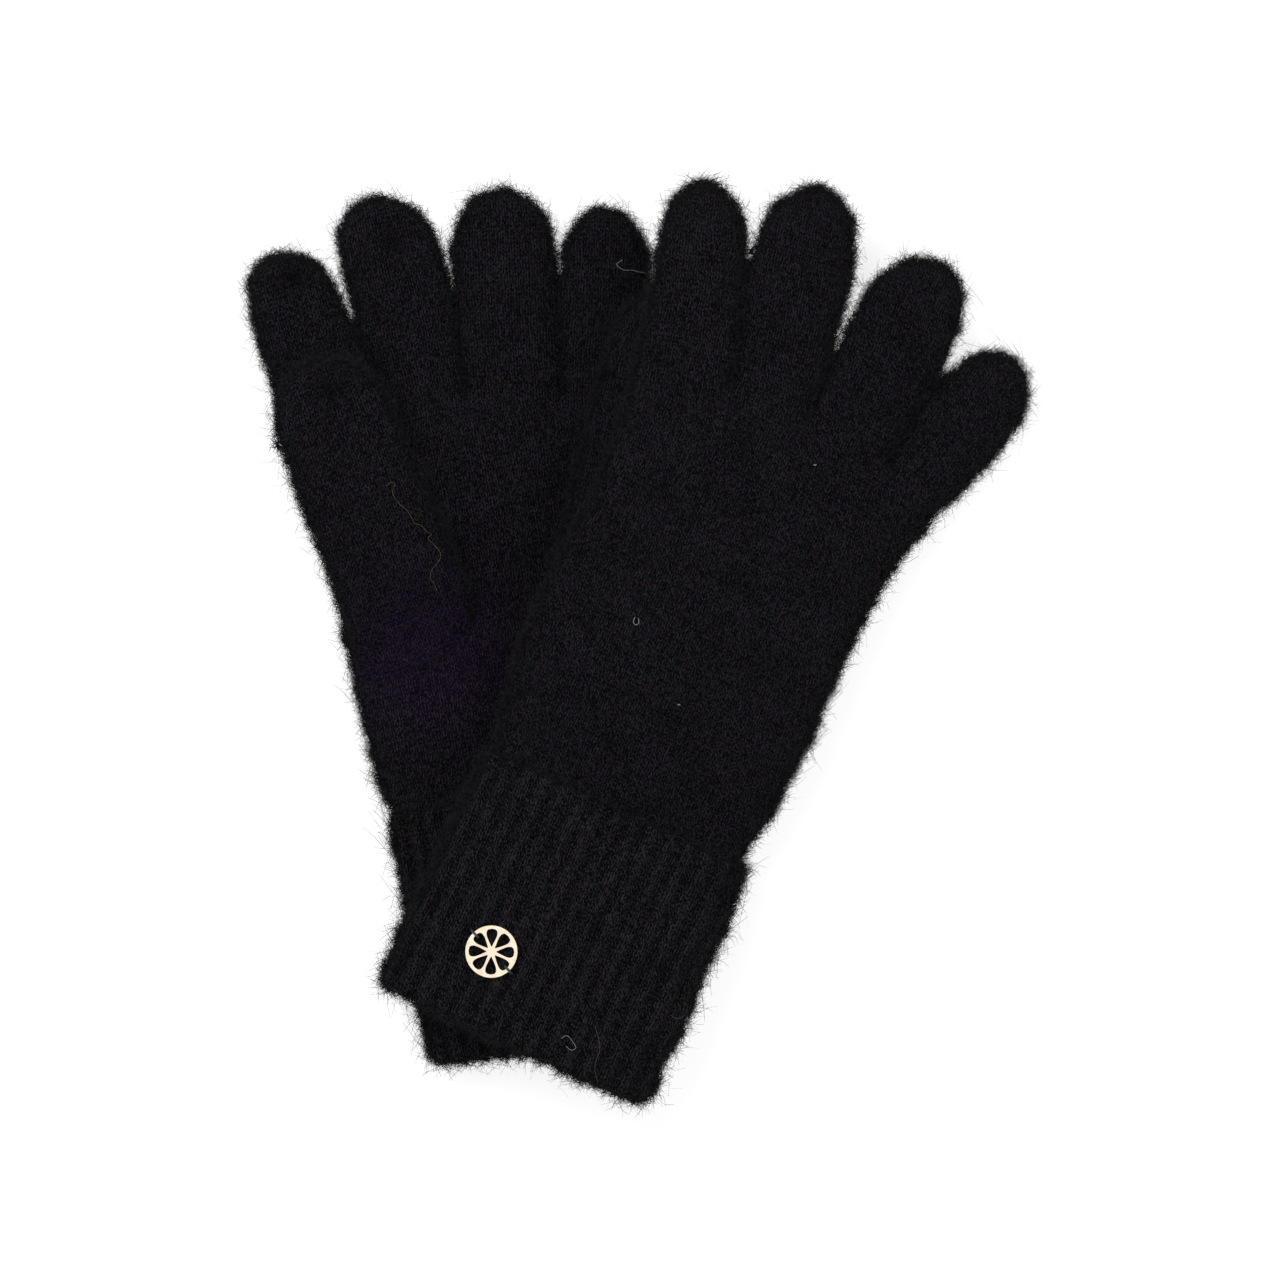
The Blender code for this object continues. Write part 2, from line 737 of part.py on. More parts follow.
def drape_over(pieces):
    """The height at which fabric lies over the pieces: on them, and down beside them."""
    low = (-DRAPE_MARGIN, -DRAPE_MARGIN)
    heights = top_heights(pieces, low, (DRAPE_MARGIN, DRAPE_MARGIN))
    tallest = float(heights.max())
    raised = spread(heights, 0.0, DRAPE_EASE + DRAPE_GRID)
    draped = spread(raised, DRAPE_SLOPE, tallest / DRAPE_SLOPE)
    ground = blur(np.maximum(draped, 0.0), DRAPE_EASE)

    def height_at(x, y):
        fx = (x - low[0]) / DRAPE_GRID
        fy = (y - low[1]) / DRAPE_GRID
        i, j = int(fx), int(fy)
        a, b = fx - i, fy - j
        near = mix(ground[i, j], ground[i + 1, j], a)
        far = mix(ground[i, j + 1], ground[i + 1, j + 1], a)
        height = mix(near, far, b)
        return height + REST_GAP * smooth(height / REST_GAP)

    return height_at


# The badge.


def petal_point(turn):
    """A point of a petal-shaped hole around its sector's middle line: (radius, angle)."""
    inner = BADGE_HUB
    outer = BADGE_RADIUS - BADGE_RIM
    radius = mix(inner, outer, 0.5 - 0.5 * math.cos(turn))
    room = math.pi / BADGE_PETALS - math.asin(min(0.9, 0.5 * BADGE_SPOKE / radius))
    return radius, room * math.sin(turn) ** PETAL_FULLNESS


def badge_loops(sector):
    """The sector's outline and its hole's outline, as many points each: (radius, angle)."""
    middle = BADGE_TURN + 2.0 * math.pi * sector / BADGE_PETALS
    half = math.pi / BADGE_PETALS
    straight = PETAL_STEPS - RIM_STEPS
    edge, hole = [], []
    for k in range(2 * PETAL_STEPS):
        step = min(k, 2 * PETAL_STEPS - k)
        sign = 1.0 if k < PETAL_STEPS else -1.0
        radius, swing = petal_point(math.pi * step / PETAL_STEPS)
        if step in (0, PETAL_STEPS):
            swing = 0.0
        hole.append((radius, middle + sign * swing))
        if step == 0:
            edge.append((HUB_MIDDLE_SHARE * BADGE_HUB, middle))
        elif step <= straight:
            out = mix(HUB_MIDDLE_SHARE * BADGE_HUB, BADGE_RADIUS, step / straight)
            edge.append((out, middle + sign * half))
        else:
            turn = half * (PETAL_STEPS - step) / RIM_STEPS
            edge.append((BADGE_RADIUS, middle + sign * turn))
    return edge, hole


def make_badge(centre, turn):
    """The openwork badge: a rim and a plain rosette of eight petals, cut from one plate."""
    bm = bmesh.new()
    known = {}

    def corner(radius, angle, z):
        place = Vector((radius * math.cos(angle), radius * math.sin(angle), z))
        key = tuple(round(c / (0.01 * MM)) for c in place)
        if key not in known:
            known[key] = bm.verts.new(place)
        return known[key]

    half = 0.5 * BADGE_THICKNESS
    rim, hub = [], []
    for sector in range(BADGE_PETALS):
        edge, hole = badge_loops(sector)
        count = len(edge)
        for k in range(count):
            after = (k + 1) % count
            for z in (-half, half):
                quad = [corner(*edge[k], z), corner(*edge[after], z)]
                quad += [corner(*hole[after], z), corner(*hole[k], z)]
                bm.faces.new(quad)
            wall = [corner(*hole[k], -half), corner(*hole[after], -half)]
            wall += [corner(*hole[after], half), corner(*hole[k], half)]
            bm.faces.new(wall)
        first, last = PETAL_STEPS - RIM_STEPS, PETAL_STEPS + RIM_STEPS
        rim += edge[first : last + 1]
        hub += [edge[-1], edge[0], edge[1]]
    close_loop(bm, corner, rim, half)
    cap_hub(bm, corner, hub, half)
    bm.transform(Matrix.Translation(centre) @ turn)
    return make_object("badge", bm, PALE_GOLD)


def unique(points):
    """The loop's points without repeats, in turn about the centre."""
    seen = {round(math.degrees(a % (2.0 * math.pi)), 3): (r, a) for r, a in points}
    return [seen[key] for key in sorted(seen)]


def close_loop(bm, corner, loop, half):
    """The wall round the rim."""
    loop = unique(loop)
    for one, two in zip(loop, loop[1:] + loop[:1]):
        low = [corner(*one, -half), corner(*two, -half)]
        bm.faces.new(low + [corner(*two, half), corner(*one, half)])


def cap_hub(bm, corner, loop, half):
    """The two faces of the hub."""
    loop = unique(loop)
    for z in (-half, half):
        bm.faces.new([corner(*p, z) for p in loop])


def make_stitch(name, centre, turn, angle, seat):
    """One thread over the badge's rim, from the cuff outside it to the cuff inside a hole."""
    over = 0.5 * BADGE_THICKNESS + SEAM_GAP + THREAD_RADIUS
    clear = SEAM_GAP + THREAD_RADIUS
    outside = BADGE_RADIUS + clear
    inside = BADGE_RADIUS - BADGE_RIM - clear
    lean = 0.4 * clear
    route = (
        (outside + lean, seat),
        (outside, 0.4 * over),
        (outside - lean, over),
        (inside + lean, over),
        (inside, 0.4 * over),
        (inside - lean, seat),
    )
    heading = Vector((math.cos(angle), math.sin(angle), 0.0))
    side = Vector((-heading.y, heading.x, 0.0))
    points = [heading * r + Vector((0.0, 0.0, z)) for r, z in route]
    bm = bmesh.new()
    rings = []
    for k, place in enumerate(points):
        ahead = points[min(k + 1, len(points) - 1)] - points[max(k - 1, 0)]
        normal = side.cross(ahead.normalized())
        ring = []
        for n in range(8):
            a = 2.0 * math.pi * n / 8
            out = side * math.cos(a) + normal * math.sin(a)
            ring.append(bm.verts.new(place + out * THREAD_RADIUS))
        rings.append(ring)
    for near, far in zip(rings, rings[1:]):
        join_rings(bm, near, far)
    for ring in (rings[0], rings[-1]):
        bm.faces.new(ring)
    bm.transform(Matrix.Translation(centre) @ turn)
    return make_object(name, bm, BLACK_THREAD)


def seat_on(piece, spots):
    """The plane that fits a piece's top best, how far the piece stands proud of it, its normal."""
    tree = BVHTree.FromObject(piece, bpy.context.evaluated_depsgraph_get())
    hits = [tree.ray_cast(Vector((x, y, RAY_START)), Vector((0.0, 0.0, -1.0)))[0] for x, y in spots]
    rows = np.array([(h.x, h.y, 1.0) for h in hits])
    heights = np.array([h.z for h in hits])
    fit = np.linalg.lstsq(rows, heights, rcond=None)[0]
    proud = float((heights - rows @ fit).max())
    normal = Vector((-fit[0], -fit[1], 1.0)).normalized()
    return fit, proud, normal


def make_badge_set(spec, lay, cuff):
    """The badge on the cuff's upper layer, and the two threads that hold it."""
    middle = lay.plan(*BADGE_AT)
    spots = [tuple(middle)]
    for reach in (0.5, 1.0, 1.3):
        for k in range(12):
            angle = 2.0 * math.pi * k / 12
            r = reach * BADGE_RADIUS
            spots.append((middle.x + r * math.cos(angle), middle.y + r * math.sin(angle)))
    fit, proud, normal = seat_on(cuff, spots)
    height = fit[0] * middle.x + fit[1] * middle.y + fit[2]
    seat = Vector((middle.x, middle.y, height))
    centre = seat + normal * (proud + SEAM_GAP + 0.5 * BADGE_THICKNESS)
    turn = normal.to_track_quat("Z", "Y").to_matrix().to_4x4()
    make_badge(centre, turn)
    foot = THREAD_RADIUS - 0.5 * BADGE_THICKNESS
    for number, hole in enumerate(SEWN_HOLES, start=1):
        angle = BADGE_TURN + 2.0 * math.pi * hole / BADGE_PETALS
        make_stitch(f"badge_stitch_{number}", centre, turn, angle, foot)


# The pair.


def make_left():
    """The lower glove. Its thumb lies on its palm, so its index finger folds at the tip only."""
    lay = Lay(LEFT)
    level = HAND_THICKNESS + REST_GAP
    thumb = Thumb(LEFT, lay, level, 1.0)
    hole = thumb.hole_cutter(0.5 * HAND_THICKNESS, level)
    pieces = [make_hand(LEFT, lay, hole), make_cuff(LEFT, lay)]
    for finger in FINGERS:
        pieces += make_finger(LEFT, lay, finger, at_root=False)
    frame = thumb.lift_hinge()
    make_thumb(thumb, frame)
    change = thumb.length - TIP_LENGTH
    reach = -0.5 * (THUMB_WIDTH + KNOT_SIZE[1]) - SEAM_GAP
    place = thumb.place(change, reach, 0.0, APEX_SHARE * THUMB_THICKNESS)
    make_knot("left_thumb_yarn_knot", place, lay.across, frame)
    return pieces


def make_right(under):
    """The upper glove, over the lower glove and over its own thumb."""
    lay = Lay(RIGHT)
    top = HAND_THICKNESS + REST_GAP + THUMB_THICKNESS
    thumb = Thumb(RIGHT, lay, top, -1.0)
    under = under + make_thumb(thumb, thumb.swing_hinge())
    lay.ground = drape_over(under)
    hole = thumb.hole_cutter(top - REST_GAP, top + 0.5 * HAND_THICKNESS)
    make_hand(RIGHT, lay, hole)
    cuff = make_cuff(RIGHT, lay)
    for finger in FINGERS:
        make_finger(RIGHT, lay, finger, at_root=True)
    index = Finger(RIGHT, "index")
    change = index.length - TIP_LENGTH
    out = index.across(change)
    plan = index.centre(change) + out * (index.half_width + SEAM_GAP + 0.5 * KNOT_SIZE[1])
    place = lay.point(plan.x, plan.y, APEX_SHARE * FINGER_THICKNESS)
    make_knot("right_index_yarn_knot", place, lay.across, index.hinge(lay, 0.0))
    make_badge_set(RIGHT, lay, cuff)


def centre_on_origin():
    """Moves the whole pair so that its box stands centred on the origin."""
    depsgraph = bpy.context.evaluated_depsgraph_get()
    corners = []
    kept = [o for o in bpy.data.objects if not o.hide_render]
    for piece in kept:
        mesh = piece.evaluated_get(depsgraph).to_mesh()
        corners += [piece.matrix_world @ v.co for v in mesh.vertices]
    points = np.array(corners)
    low, high = points.min(axis=0), points.max(axis=0)
    shift = Vector((-(low[0] + high[0]) / 2.0, -(low[1] + high[1]) / 2.0, -low[2]))
    for piece in bpy.data.objects:
        piece.matrix_world = Matrix.Translation(shift) @ piece.matrix_world


def main():
    clear_scene()
    make_right(make_left())
    bpy.context.view_layer.update()
    centre_on_origin()


main()
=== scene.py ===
"""The look of a pair of fuzzy knitted touchscreen gloves, laid flat one across the other.

The knit is built from the solids of the frame: each glove's hand and fingers become one smooth
skin, which is parted where its fingers fold, and each cuff gets real ribs. Loose fibres lie on
every skin and stand off its outline, as ribbons a tenth of a millimetre wide. Lengths are in
metres.
"""

import itertools
import json
import math
from functools import partial

import bpy
import numpy as np
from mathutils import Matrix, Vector
from mathutils.bvhtree import BVHTree

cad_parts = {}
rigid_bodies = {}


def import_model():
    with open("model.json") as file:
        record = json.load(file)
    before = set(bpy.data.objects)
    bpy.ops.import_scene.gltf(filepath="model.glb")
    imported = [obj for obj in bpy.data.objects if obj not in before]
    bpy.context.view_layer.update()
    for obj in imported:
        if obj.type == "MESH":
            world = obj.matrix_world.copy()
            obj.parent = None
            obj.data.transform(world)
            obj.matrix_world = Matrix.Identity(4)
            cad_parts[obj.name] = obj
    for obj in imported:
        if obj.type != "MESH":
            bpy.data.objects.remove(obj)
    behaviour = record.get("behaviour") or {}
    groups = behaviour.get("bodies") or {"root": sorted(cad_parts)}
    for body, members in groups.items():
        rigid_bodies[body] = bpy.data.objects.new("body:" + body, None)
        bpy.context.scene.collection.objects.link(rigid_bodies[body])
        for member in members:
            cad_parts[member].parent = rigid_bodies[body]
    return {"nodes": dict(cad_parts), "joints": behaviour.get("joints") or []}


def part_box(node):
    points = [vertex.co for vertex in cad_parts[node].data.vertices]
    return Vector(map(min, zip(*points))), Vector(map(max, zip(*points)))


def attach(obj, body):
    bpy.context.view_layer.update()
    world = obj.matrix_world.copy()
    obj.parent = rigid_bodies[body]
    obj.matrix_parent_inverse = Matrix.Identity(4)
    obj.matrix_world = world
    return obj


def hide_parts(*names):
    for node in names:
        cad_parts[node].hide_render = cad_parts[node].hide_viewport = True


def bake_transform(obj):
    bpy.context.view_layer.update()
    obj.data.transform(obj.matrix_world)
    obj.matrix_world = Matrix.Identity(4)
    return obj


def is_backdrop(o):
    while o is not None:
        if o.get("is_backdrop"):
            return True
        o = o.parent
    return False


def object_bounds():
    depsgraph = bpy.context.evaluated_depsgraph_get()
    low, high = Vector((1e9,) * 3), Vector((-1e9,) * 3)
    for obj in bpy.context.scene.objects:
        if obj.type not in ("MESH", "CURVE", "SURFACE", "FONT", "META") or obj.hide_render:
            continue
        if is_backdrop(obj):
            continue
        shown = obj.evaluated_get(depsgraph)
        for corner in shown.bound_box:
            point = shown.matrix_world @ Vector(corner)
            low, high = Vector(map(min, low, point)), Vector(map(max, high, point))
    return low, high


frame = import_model()
CAD_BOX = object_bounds()
NODES = frame["nodes"]
JOINTS = {j["name"]: j for j in frame["joints"]}

MM = 0.001
FINGERS = ("index", "middle", "ring", "little")

# The skins' grids: their steps, how many cells they are eased over, and how full a cell is where
# the skin lies.
STEP = 0.9 * MM
CUFF_STEP = 0.6 * MM
EASE = 0.8
CUFF_EASE = 1.1
SKIN_LEVEL = 0.42
# How far outside a solid a ray starts and how far past one hit it goes on, the most hits that
# count, and a height above everything.
CLEAR = 10.0 * MM
PAST_HIT = 1e-6
MOST_HITS = 16
ABOVE_ALL = 100.0 * MM

# The knit: wales across, courses along, the cuffs' ribs, and the radius of a cuff's corners.
WALE = 1.5 * MM
COURSE = 1.15 * MM
RIB = 5.3 * MM
RIB_RELIEF = 0.42 * MM
CORNER = 6.5 * MM
# Slow ripples in the skins: the size and height of each, and its seed. The cuff's drift moves its
# ribs sideways.
RIPPLES = {
    "hand": ((21.0 * MM, 0.22 * MM, 5), (6.0 * MM, 0.12 * MM, 6)),
    "thumb": ((19.0 * MM, 0.2 * MM, 8),),
    "cuff": ((12.0 * MM, 0.15 * MM, 14),),
}
RIB_DRIFT = (50.0 * MM, 0.5 * MM, 12)

# Fibres that lie on the knit, that stand off its outline, and the yarn's loose ends: how many a
# square millimetre, their length and width in millimetres, their rise in degrees, and their parts.
LYING = {"density": 2.0, "length": (1.2, 2.8), "width": 0.12, "rise": (3.0, 26.0), "parts": 2}
STANDING = {"density": 15.0, "length": (1.3, 3.6), "width": 0.15, "rise": (20.0, 88.0), "parts": 3}
YARN_END = {"length": (1.4, 3.0), "width": 0.32, "rise": (30.0, 88.0), "parts": 3}
# How deep a fibre's root lies, how far fibres keep off the floor, and stray ones off the skin.
ROOT_DEPTH = 0.1 * MM
FLOOR_LIFT = 0.03 * MM
LINT_LIFT = 0.55 * MM
# How much longer the longest fibres are, the size of the fringe's tufts, the share of lying
# fibres that the undersides keep, and the most faces in one piece.
LONG_SHARE = 1.2
CUFF_LONG_SHARE = 1.6
TUFT = 9.0 * MM
UNDERSIDE_SHARE = 0.35
MOST_FIBRE_FACES = 97000
SEEDS = {
    "left": {"hand": 11, "thumb": 51, "cuff": 71},
    "right": {"hand": 31, "thumb": 61, "cuff": 81},
}

# Felt in the knit's colour: the angles its fibres lie at, how fine they are each way, and how
# much each layer adds, with the ribs' painted shade, lighter on their ridges and darker between.
STREAK_ANGLES = (28.0, -35.0, 80.0)
STREAK_SCALE = (2100.0, 850.0, 1500.0)
FELT_SHARE = {"hairs": 0.86, "stitch": 0.21, "painted_rib_shade": 0.028, "slow": 0.09}
# The tones at which the knit's colour is dark, in between and light.
KNIT_TONES = (0.572, 0.635, 0.698)
# Dyes that the fibres take unevenly, a little green to a little violet, and their fineness.
DYES = ((0.41, (0.76, 1.0, 0.84)), (0.59, (1.0, 0.78, 1.0)))
DYE_SCALE = 1500.0
# The violet cast on the left palm: its colour, middle and reach.
CAST = (0.0027, 0.0, 0.0053)
CAST_AT = (-57.0 * MM, -2.6 * MM, 12.0 * MM)
CAST_REACH = 36.0 * MM
# The spots of painted shade round the gathered ends of the left index finger, middle finger and
# thumb, in millimetres, and how dark the painted shade in their hollows is and its reach.
PAINTED_SHADE_SPOTS = ((-93.3, 98.4, 10.0), (-67.2, 108.2, 10.5), (-82.6, 67.6, 23.0))
PAINTED_SHADE_LEVEL = 0.35
PAINTED_SHADE_REACH = 6.2 * MM
# The same ends in the shape: how far each lies from the finger's end, its size, and its depth.
PUCKERS = {
    "index": (9.5 * MM, 3.2 * MM),
    "middle": (9.5 * MM, 3.4 * MM),
    "thumb": (9.0 * MM, 3.4 * MM),
}
PUCKER_DEPTH = 2.0 * MM

# The view: the frame's width on the floor, its centre, and the height of the camera.
VIEW_WIDTH = 345.6 * MM
VIEW_CENTRE = (0.66 * MM, 0.14 * MM)
CAMERA_HEIGHT = 2.2
# The floor: half its width, how far it lies under the gloves, and its share of plain white.
FLOOR_SIZE = 3.0
FLOOR_DROP = 0.3 * MM
FLOOR_WHITE = 0.8
# How bright the light from all round is, and each lamp's place, size and power.
SKY_LIGHT = 0.7
LAMPS = {"key": ((-0.55, 0.75, 1.3), 0.9, 26.0), "fill": ((0.8, -0.3, 1.2), 1.0, 12.0)}

# Each glove's turn, counter-clockwise in degrees, and the middle of its cuff's fold.
TURN = {"left": 11.0, "right": -25.0}
FOLD_AT = {"left": (-22.61 * MM, -110.3 * MM), "right": (-33.91 * MM, -109.2 * MM)}

# The knuckle line in each glove's own plan and, in the scene's, where the fingers that touch from
# there on come apart, in millimetres.
KNUCKLES = {
    "left": ((-37.5, 170.5), (-9.9, 174.5), (10.0, 173.5), (35.6, 169.5), (54.5, 163.5)),
    "right": ((-46.5, 171.0), (-20.5, 180.5), (1.0, 184.0), (24.5, 180.5), (43.5, 176.0)),
}
PARTING = {
    "left": ((-76.6, 86.5), (-49.3, 93.8), (-21.2, 93.6)),
    "right": ((29.0, 98.7), (51.4, 76.8), (78.1, 67.6)),
}
# How far each finger's end leans to its right, how late, how much slimmer its end is a side, and
# how much shorter it is.
LEAN = {
    "left": {
        "index": (-2.3, 3, 0.6, 0.0),
        "middle": (-2.9, 4, 0.8, 0.2),
        "ring": (-1.2, 3, 0.8, 0.0),
        "little": (-0.4, 3, 1.2, 0.3),
    },
    "right": {
        "index": (-0.6, 2, 2.0, 1.2),
        "middle": (1.5, 4, 1.6, 0.7),
        "ring": (3.3, 2, 1.1, 0.2),
        "little": (3.2, 2, 1.1, -0.4),
    },
}
# The web of knit between two fingers' roots: its reach, and how much thinner than they are it is.
WEB_REACH = 4.5 * MM
WEB_INSET = 1.2 * MM
# Touching fingers: how often the gap between two is measured, how far each presses past its
# middle, and the most it moves. Round a crotch: the reach along and across, and the press.
GAP_STATIONS = 24
GAP_PRESS = 0.25 * MM
MOST_SHIFT = 3.2 * MM
CROTCH_REACH = 5.0 * MM
CROTCH_MARGIN = 2.2 * MM
CROTCH_PRESS = 0.1 * MM
# Where the conductive yarn starts, from the tube's end, and how much sooner if the end folds.
TIP_LENGTH = 18.5 * MM
TIP_FOLD_ROOM = {"left": 1.5 * MM, "right": 0.0}
# The length a finger's bend takes, and how far from its root the bend starts at the least.
FOLD_LENGTH = 6.0 * MM
FOLD_START = 4.0 * MM
# A thumb grows out of the hand: the length that takes, the height it grows from, how far it sinks
# there, and how far the left one bows to its right.
THUMB_FADE = {"left": 42.0 * MM, "right": 30.0 * MM}
THUMB_SEAT = {"left": 12.3 * MM, "right": 24.4 * MM}
THUMB_SINK = {"left": 1.8 * MM, "right": -1.8 * MM}
THUMB_BOW = 1.7 * MM
# Its joint, how far along the thumb that counts at the least, and where its bend starts and ends
# past it.
THUMB_JOINT = {"left": "left_thumb_lift", "right": "right_thumb_swing"}
THUMB_BEND_FROM = {"left": -math.inf, "right": 6.0 * MM}
THUMB_BEND_START = 2.0 * MM
THUMB_BEND_END = {"left": 26.0 * MM, "right": 22.0 * MM}


def smooth(t):
    """Eases from 0 to 1."""
    t = np.clip(t, 0.0, 1.0)
    return t * t * (3.0 - 2.0 * t)


def unit(vectors):
    """The vectors at a length of one."""
    return vectors / np.maximum(np.linalg.norm(vectors, axis=1), 1e-12)[:, None]


# Materials.


class Nodes:
    """A node tree, with short calls for the nodes used here."""

    def __init__(self, owner):
        owner.use_nodes = True
        self.tree = owner.node_tree

    def add(self, kind, **settings):
        node = self.tree.nodes.new("ShaderNode" + kind)
        for key, value in settings.items():
            setattr(node, key, value)
        return node

    def link(self, source, target):
        self.tree.links.new(source, target)

    def fill(self, target, value):
        """Links another node's output to a socket, or sets the socket to a plain value."""
        if isinstance(value, bpy.types.NodeSocket):
            self.link(value, target)
        else:
            target.default_value = value

    def math(self, operation, *values):
        node = self.add("Math", operation=operation)
        for socket, value in zip(node.inputs, values):
            self.fill(socket, value)
        return node.outputs[0]

    def mix(self, blend, share, colour, other):
        node = self.add("Mix", data_type="RGBA", blend_type=blend)
        for socket, value in ((0, share), (6, colour), (7, other)):
            self.fill(node.inputs[socket], value)
        return node.outputs[2]

    def ramp(self, value, stops, easing="LINEAR"):
        node = self.add("ValToRGB")
        self.link(value, node.inputs[0])
        ramp = node.color_ramp
        ramp.interpolation = easing
        while len(ramp.elements) < len(stops):
            ramp.elements.new(0.5)
        for element, (place, colour) in zip(ramp.elements, stops):
            element.position = place
            element.color = (*colour, 1.0)
        return node.outputs[0]

    def noise(self, vector, scale, detail, roughness):
        node = self.add("TexNoise")
        self.link(vector, node.inputs["Vector"])
        node.inputs["Scale"].default_value = scale
        node.inputs["Detail"].default_value = detail
        node.inputs["Roughness"].default_value = roughness
        return node.outputs[0]

    def distance(self, place, spot):
        node = self.add("VectorMath", operation="DISTANCE")
        self.link(place, node.inputs[0])
        node.inputs[1].default_value = spot
        return node.outputs["Value"]


class Material(Nodes):
    """A material, with its shader and the place of each point."""

    def __init__(self, name):
        self.material = bpy.data.materials.new(name)
        super().__init__(self.material)
        self.shader = self.tree.nodes["Principled BSDF"]
        self.place = self.add("TexCoord").outputs["Object"]

    def bump(self, height, strength, distance):
        node = self.add("Bump")
        node.inputs["Strength"].default_value = strength
        node.inputs["Distance"].default_value = distance
        self.link(height, node.inputs["Height"])
        self.link(node.outputs[0], self.shader.inputs["Normal"])

    def set(self, **values):
        for key, value in values.items():
            self.fill(self.shader.inputs[key.replace("_", " ")], value)


def stitch_height(n, across, along):
    """The height of stockinette: columns of V-shaped stitches."""
    column = n.math("FRACT", n.math("MULTIPLY", across, 1.0 / WALE))
    off = n.math("MULTIPLY", n.math("ABSOLUTE", n.math("SUBTRACT", column, 0.5)), 2.0)
    course = n.math("MULTIPLY", along, 1.0 / COURSE)
    slanted = n.math("ADD", course, n.math("MULTIPLY", off, -0.8))
    wave = n.math("ABSOLUTE", n.math("SUBTRACT", n.math("FRACT", slanted), 0.5))
    leg = n.math("SINE", n.math("MULTIPLY", off, math.pi))
    yarn = n.math("SUBTRACT", 1.0, n.math("MULTIPLY", wave, 1.2))
    return n.math("MULTIPLY", n.math("POWER", n.math("MAXIMUM", leg, 0.001), 0.55), yarn)


def streaks(n, angle):
    """Felted fibres that mostly lie at one angle, as a value round a half."""
    turned = n.add("Mapping")
    n.link(n.place, turned.inputs["Vector"])
    turned.inputs["Rotation"].default_value = (0.35, -0.25, math.radians(angle))
    turned.inputs["Scale"].default_value = STREAK_SCALE
    return n.noise(turned.outputs[0], 1.0, 1.5, 0.6)


def knit_material(name, dark, light, sheen):
    """Felted black wool knit: its stitches, its fibres, its slow changes of tone, and on the ribs,
    painted shade in their valleys.
    """
    n = Material(name)
    uv = n.add("UVMap", uv_map="knit")
    split = n.add("SeparateXYZ")
    n.link(uv.outputs[0], split.inputs[0])
    across, along = split.outputs[0], split.outputs[1]
    slow = n.noise(n.place, 95.0, 3.0, 0.55)
    wobble = n.noise(n.place, 240.0, 2.0, 0.5)
    moved = n.math("ADD", across, n.math("MULTIPLY", wobble, 0.9 * MM))
    stitch = stitch_height(n, moved, along)
    hairs = streaks(n, STREAK_ANGLES[0])
    for angle in STREAK_ANGLES[1:]:
        hairs = n.math("MAXIMUM", hairs, streaks(n, angle))
    layers = {"hairs": hairs, "stitch": stitch}
    # Painted shade on the ribs: the tone follows their relief, lighter on each ridge and darker in
    # each valley.
    if name == "rib":
        layers["painted_rib_shade"] = n.math("COSINE", n.math("MULTIPLY", across, 2.0 * math.pi / RIB))
    layers["slow"] = n.math("SUBTRACT", slow, 0.5)
    parts = [n.math("MULTIPLY", value, FELT_SHARE[layer]) for layer, value in layers.items()]
    tone = parts[0]
    for part in parts[1:]:
        tone = n.math("ADD", tone, part)
    middle = tuple(a + (b - a) * 0.3 for a, b in zip(dark, light))
    colour = n.ramp(tone, tuple(zip(KNIT_TONES, (dark, middle, light))))
    colour = mixed_dyes(n, colour)
    # Painted shade round the gathered finger ends, on all but the ribbed cuffs.
    if name != "rib":
        colour = painted_pucker_shade(n, colour)
    if name == "wool":
        colour = tinted(n, colour)
    height = n.math("ADD", n.math("MULTIPLY", stitch, 0.6), n.math("MULTIPLY", hairs, 1.2))
    n.bump(height, 0.9, 0.5 * MM)
    rough = n.math("ADD", 0.86, n.math("MULTIPLY", hairs, 0.12))
    n.set(Base_Color=colour, Roughness=rough, Specular_IOR_Level=0.03)
    n.set(Sheen_Weight=sheen, Sheen_Roughness=0.55, Sheen_Tint=(0.62, 0.62, 0.78, 1.0))
    return n.material


def mixed_dyes(n, colour):
    """Fibres that take the dye unevenly: some a little green, some a little violet."""
    return n.mix("MULTIPLY", 1.0, colour, n.ramp(n.noise(n.place, DYE_SCALE, 2.0, 0.6), DYES))


def painted_pucker_shade(n, colour):
    """Painted shade: darkens the knit's colour in the hollows round the gathered ends of the
    fingers.
    """
    for spot in PAINTED_SHADE_SPOTS:
        away = n.distance(n.place, tuple(v * MM for v in spot))
        stops = ((0.0, (PAINTED_SHADE_LEVEL,) * 3), (PAINTED_SHADE_REACH, (1.0,) * 3))
        colour = n.mix("MULTIPLY", 1.0, colour, n.ramp(away, stops, "EASE"))
    return colour


def tinted(n, colour):
    """A faint violet added to the knit's colour over a hand's breadth of the left palm."""
    stops = ((0.0, (1.0,) * 3), (CAST_REACH, (0.0,) * 3))
    share = n.ramp(n.distance(n.place, CAST_AT), stops, "EASE")
    return n.mix("ADD", share, colour, (*CAST, 1.0))


def fibre_material():
    """Single wool fibres: near black, with painted highlights, a few fibres painted lighter as if
    catching the light.
    """
    n = Material("wool_fibre")
    tone = n.noise(n.place, 1100.0, 2.0, 0.6)
    # Painted highlights: the noise paints a few fibres lighter.
    colour = n.ramp(tone, ((0.45, (0.0004, 0.0003, 0.0006)), (0.69, (0.0150, 0.0134, 0.0170))))
    rough = n.math("ADD", 0.55, n.math("MULTIPLY", tone, 0.25))
    # The fibres take the same painted shade round the gathered ends.
    n.set(Base_Color=painted_pucker_shade(n, colour), Roughness=rough, Specular_IOR_Level=0.08)
    n.set(Sheen_Weight=0.012, Sheen_Roughness=0.4)
    return n.material


def metal_material():
    """Polished pale gold plate with fine brushing and a little wear."""
    n = Material("badge_metal")
    cloud = n.noise(n.place, 420.0, 4.0, 0.6)
    grain = n.noise(n.place, 5200.0, 2.0, 0.5)
    gold = n.ramp(cloud, ((0.3, (0.80, 0.69, 0.50)), (0.75, (0.93, 0.85, 0.70))))
    rough = n.math("ADD", 0.13, n.math("MULTIPLY", grain, 0.16))
    n.set(Base_Color=gold, Roughness=rough, Metallic=1.0)
    n.bump(grain, 0.12, 0.05 * MM)
    return n.material


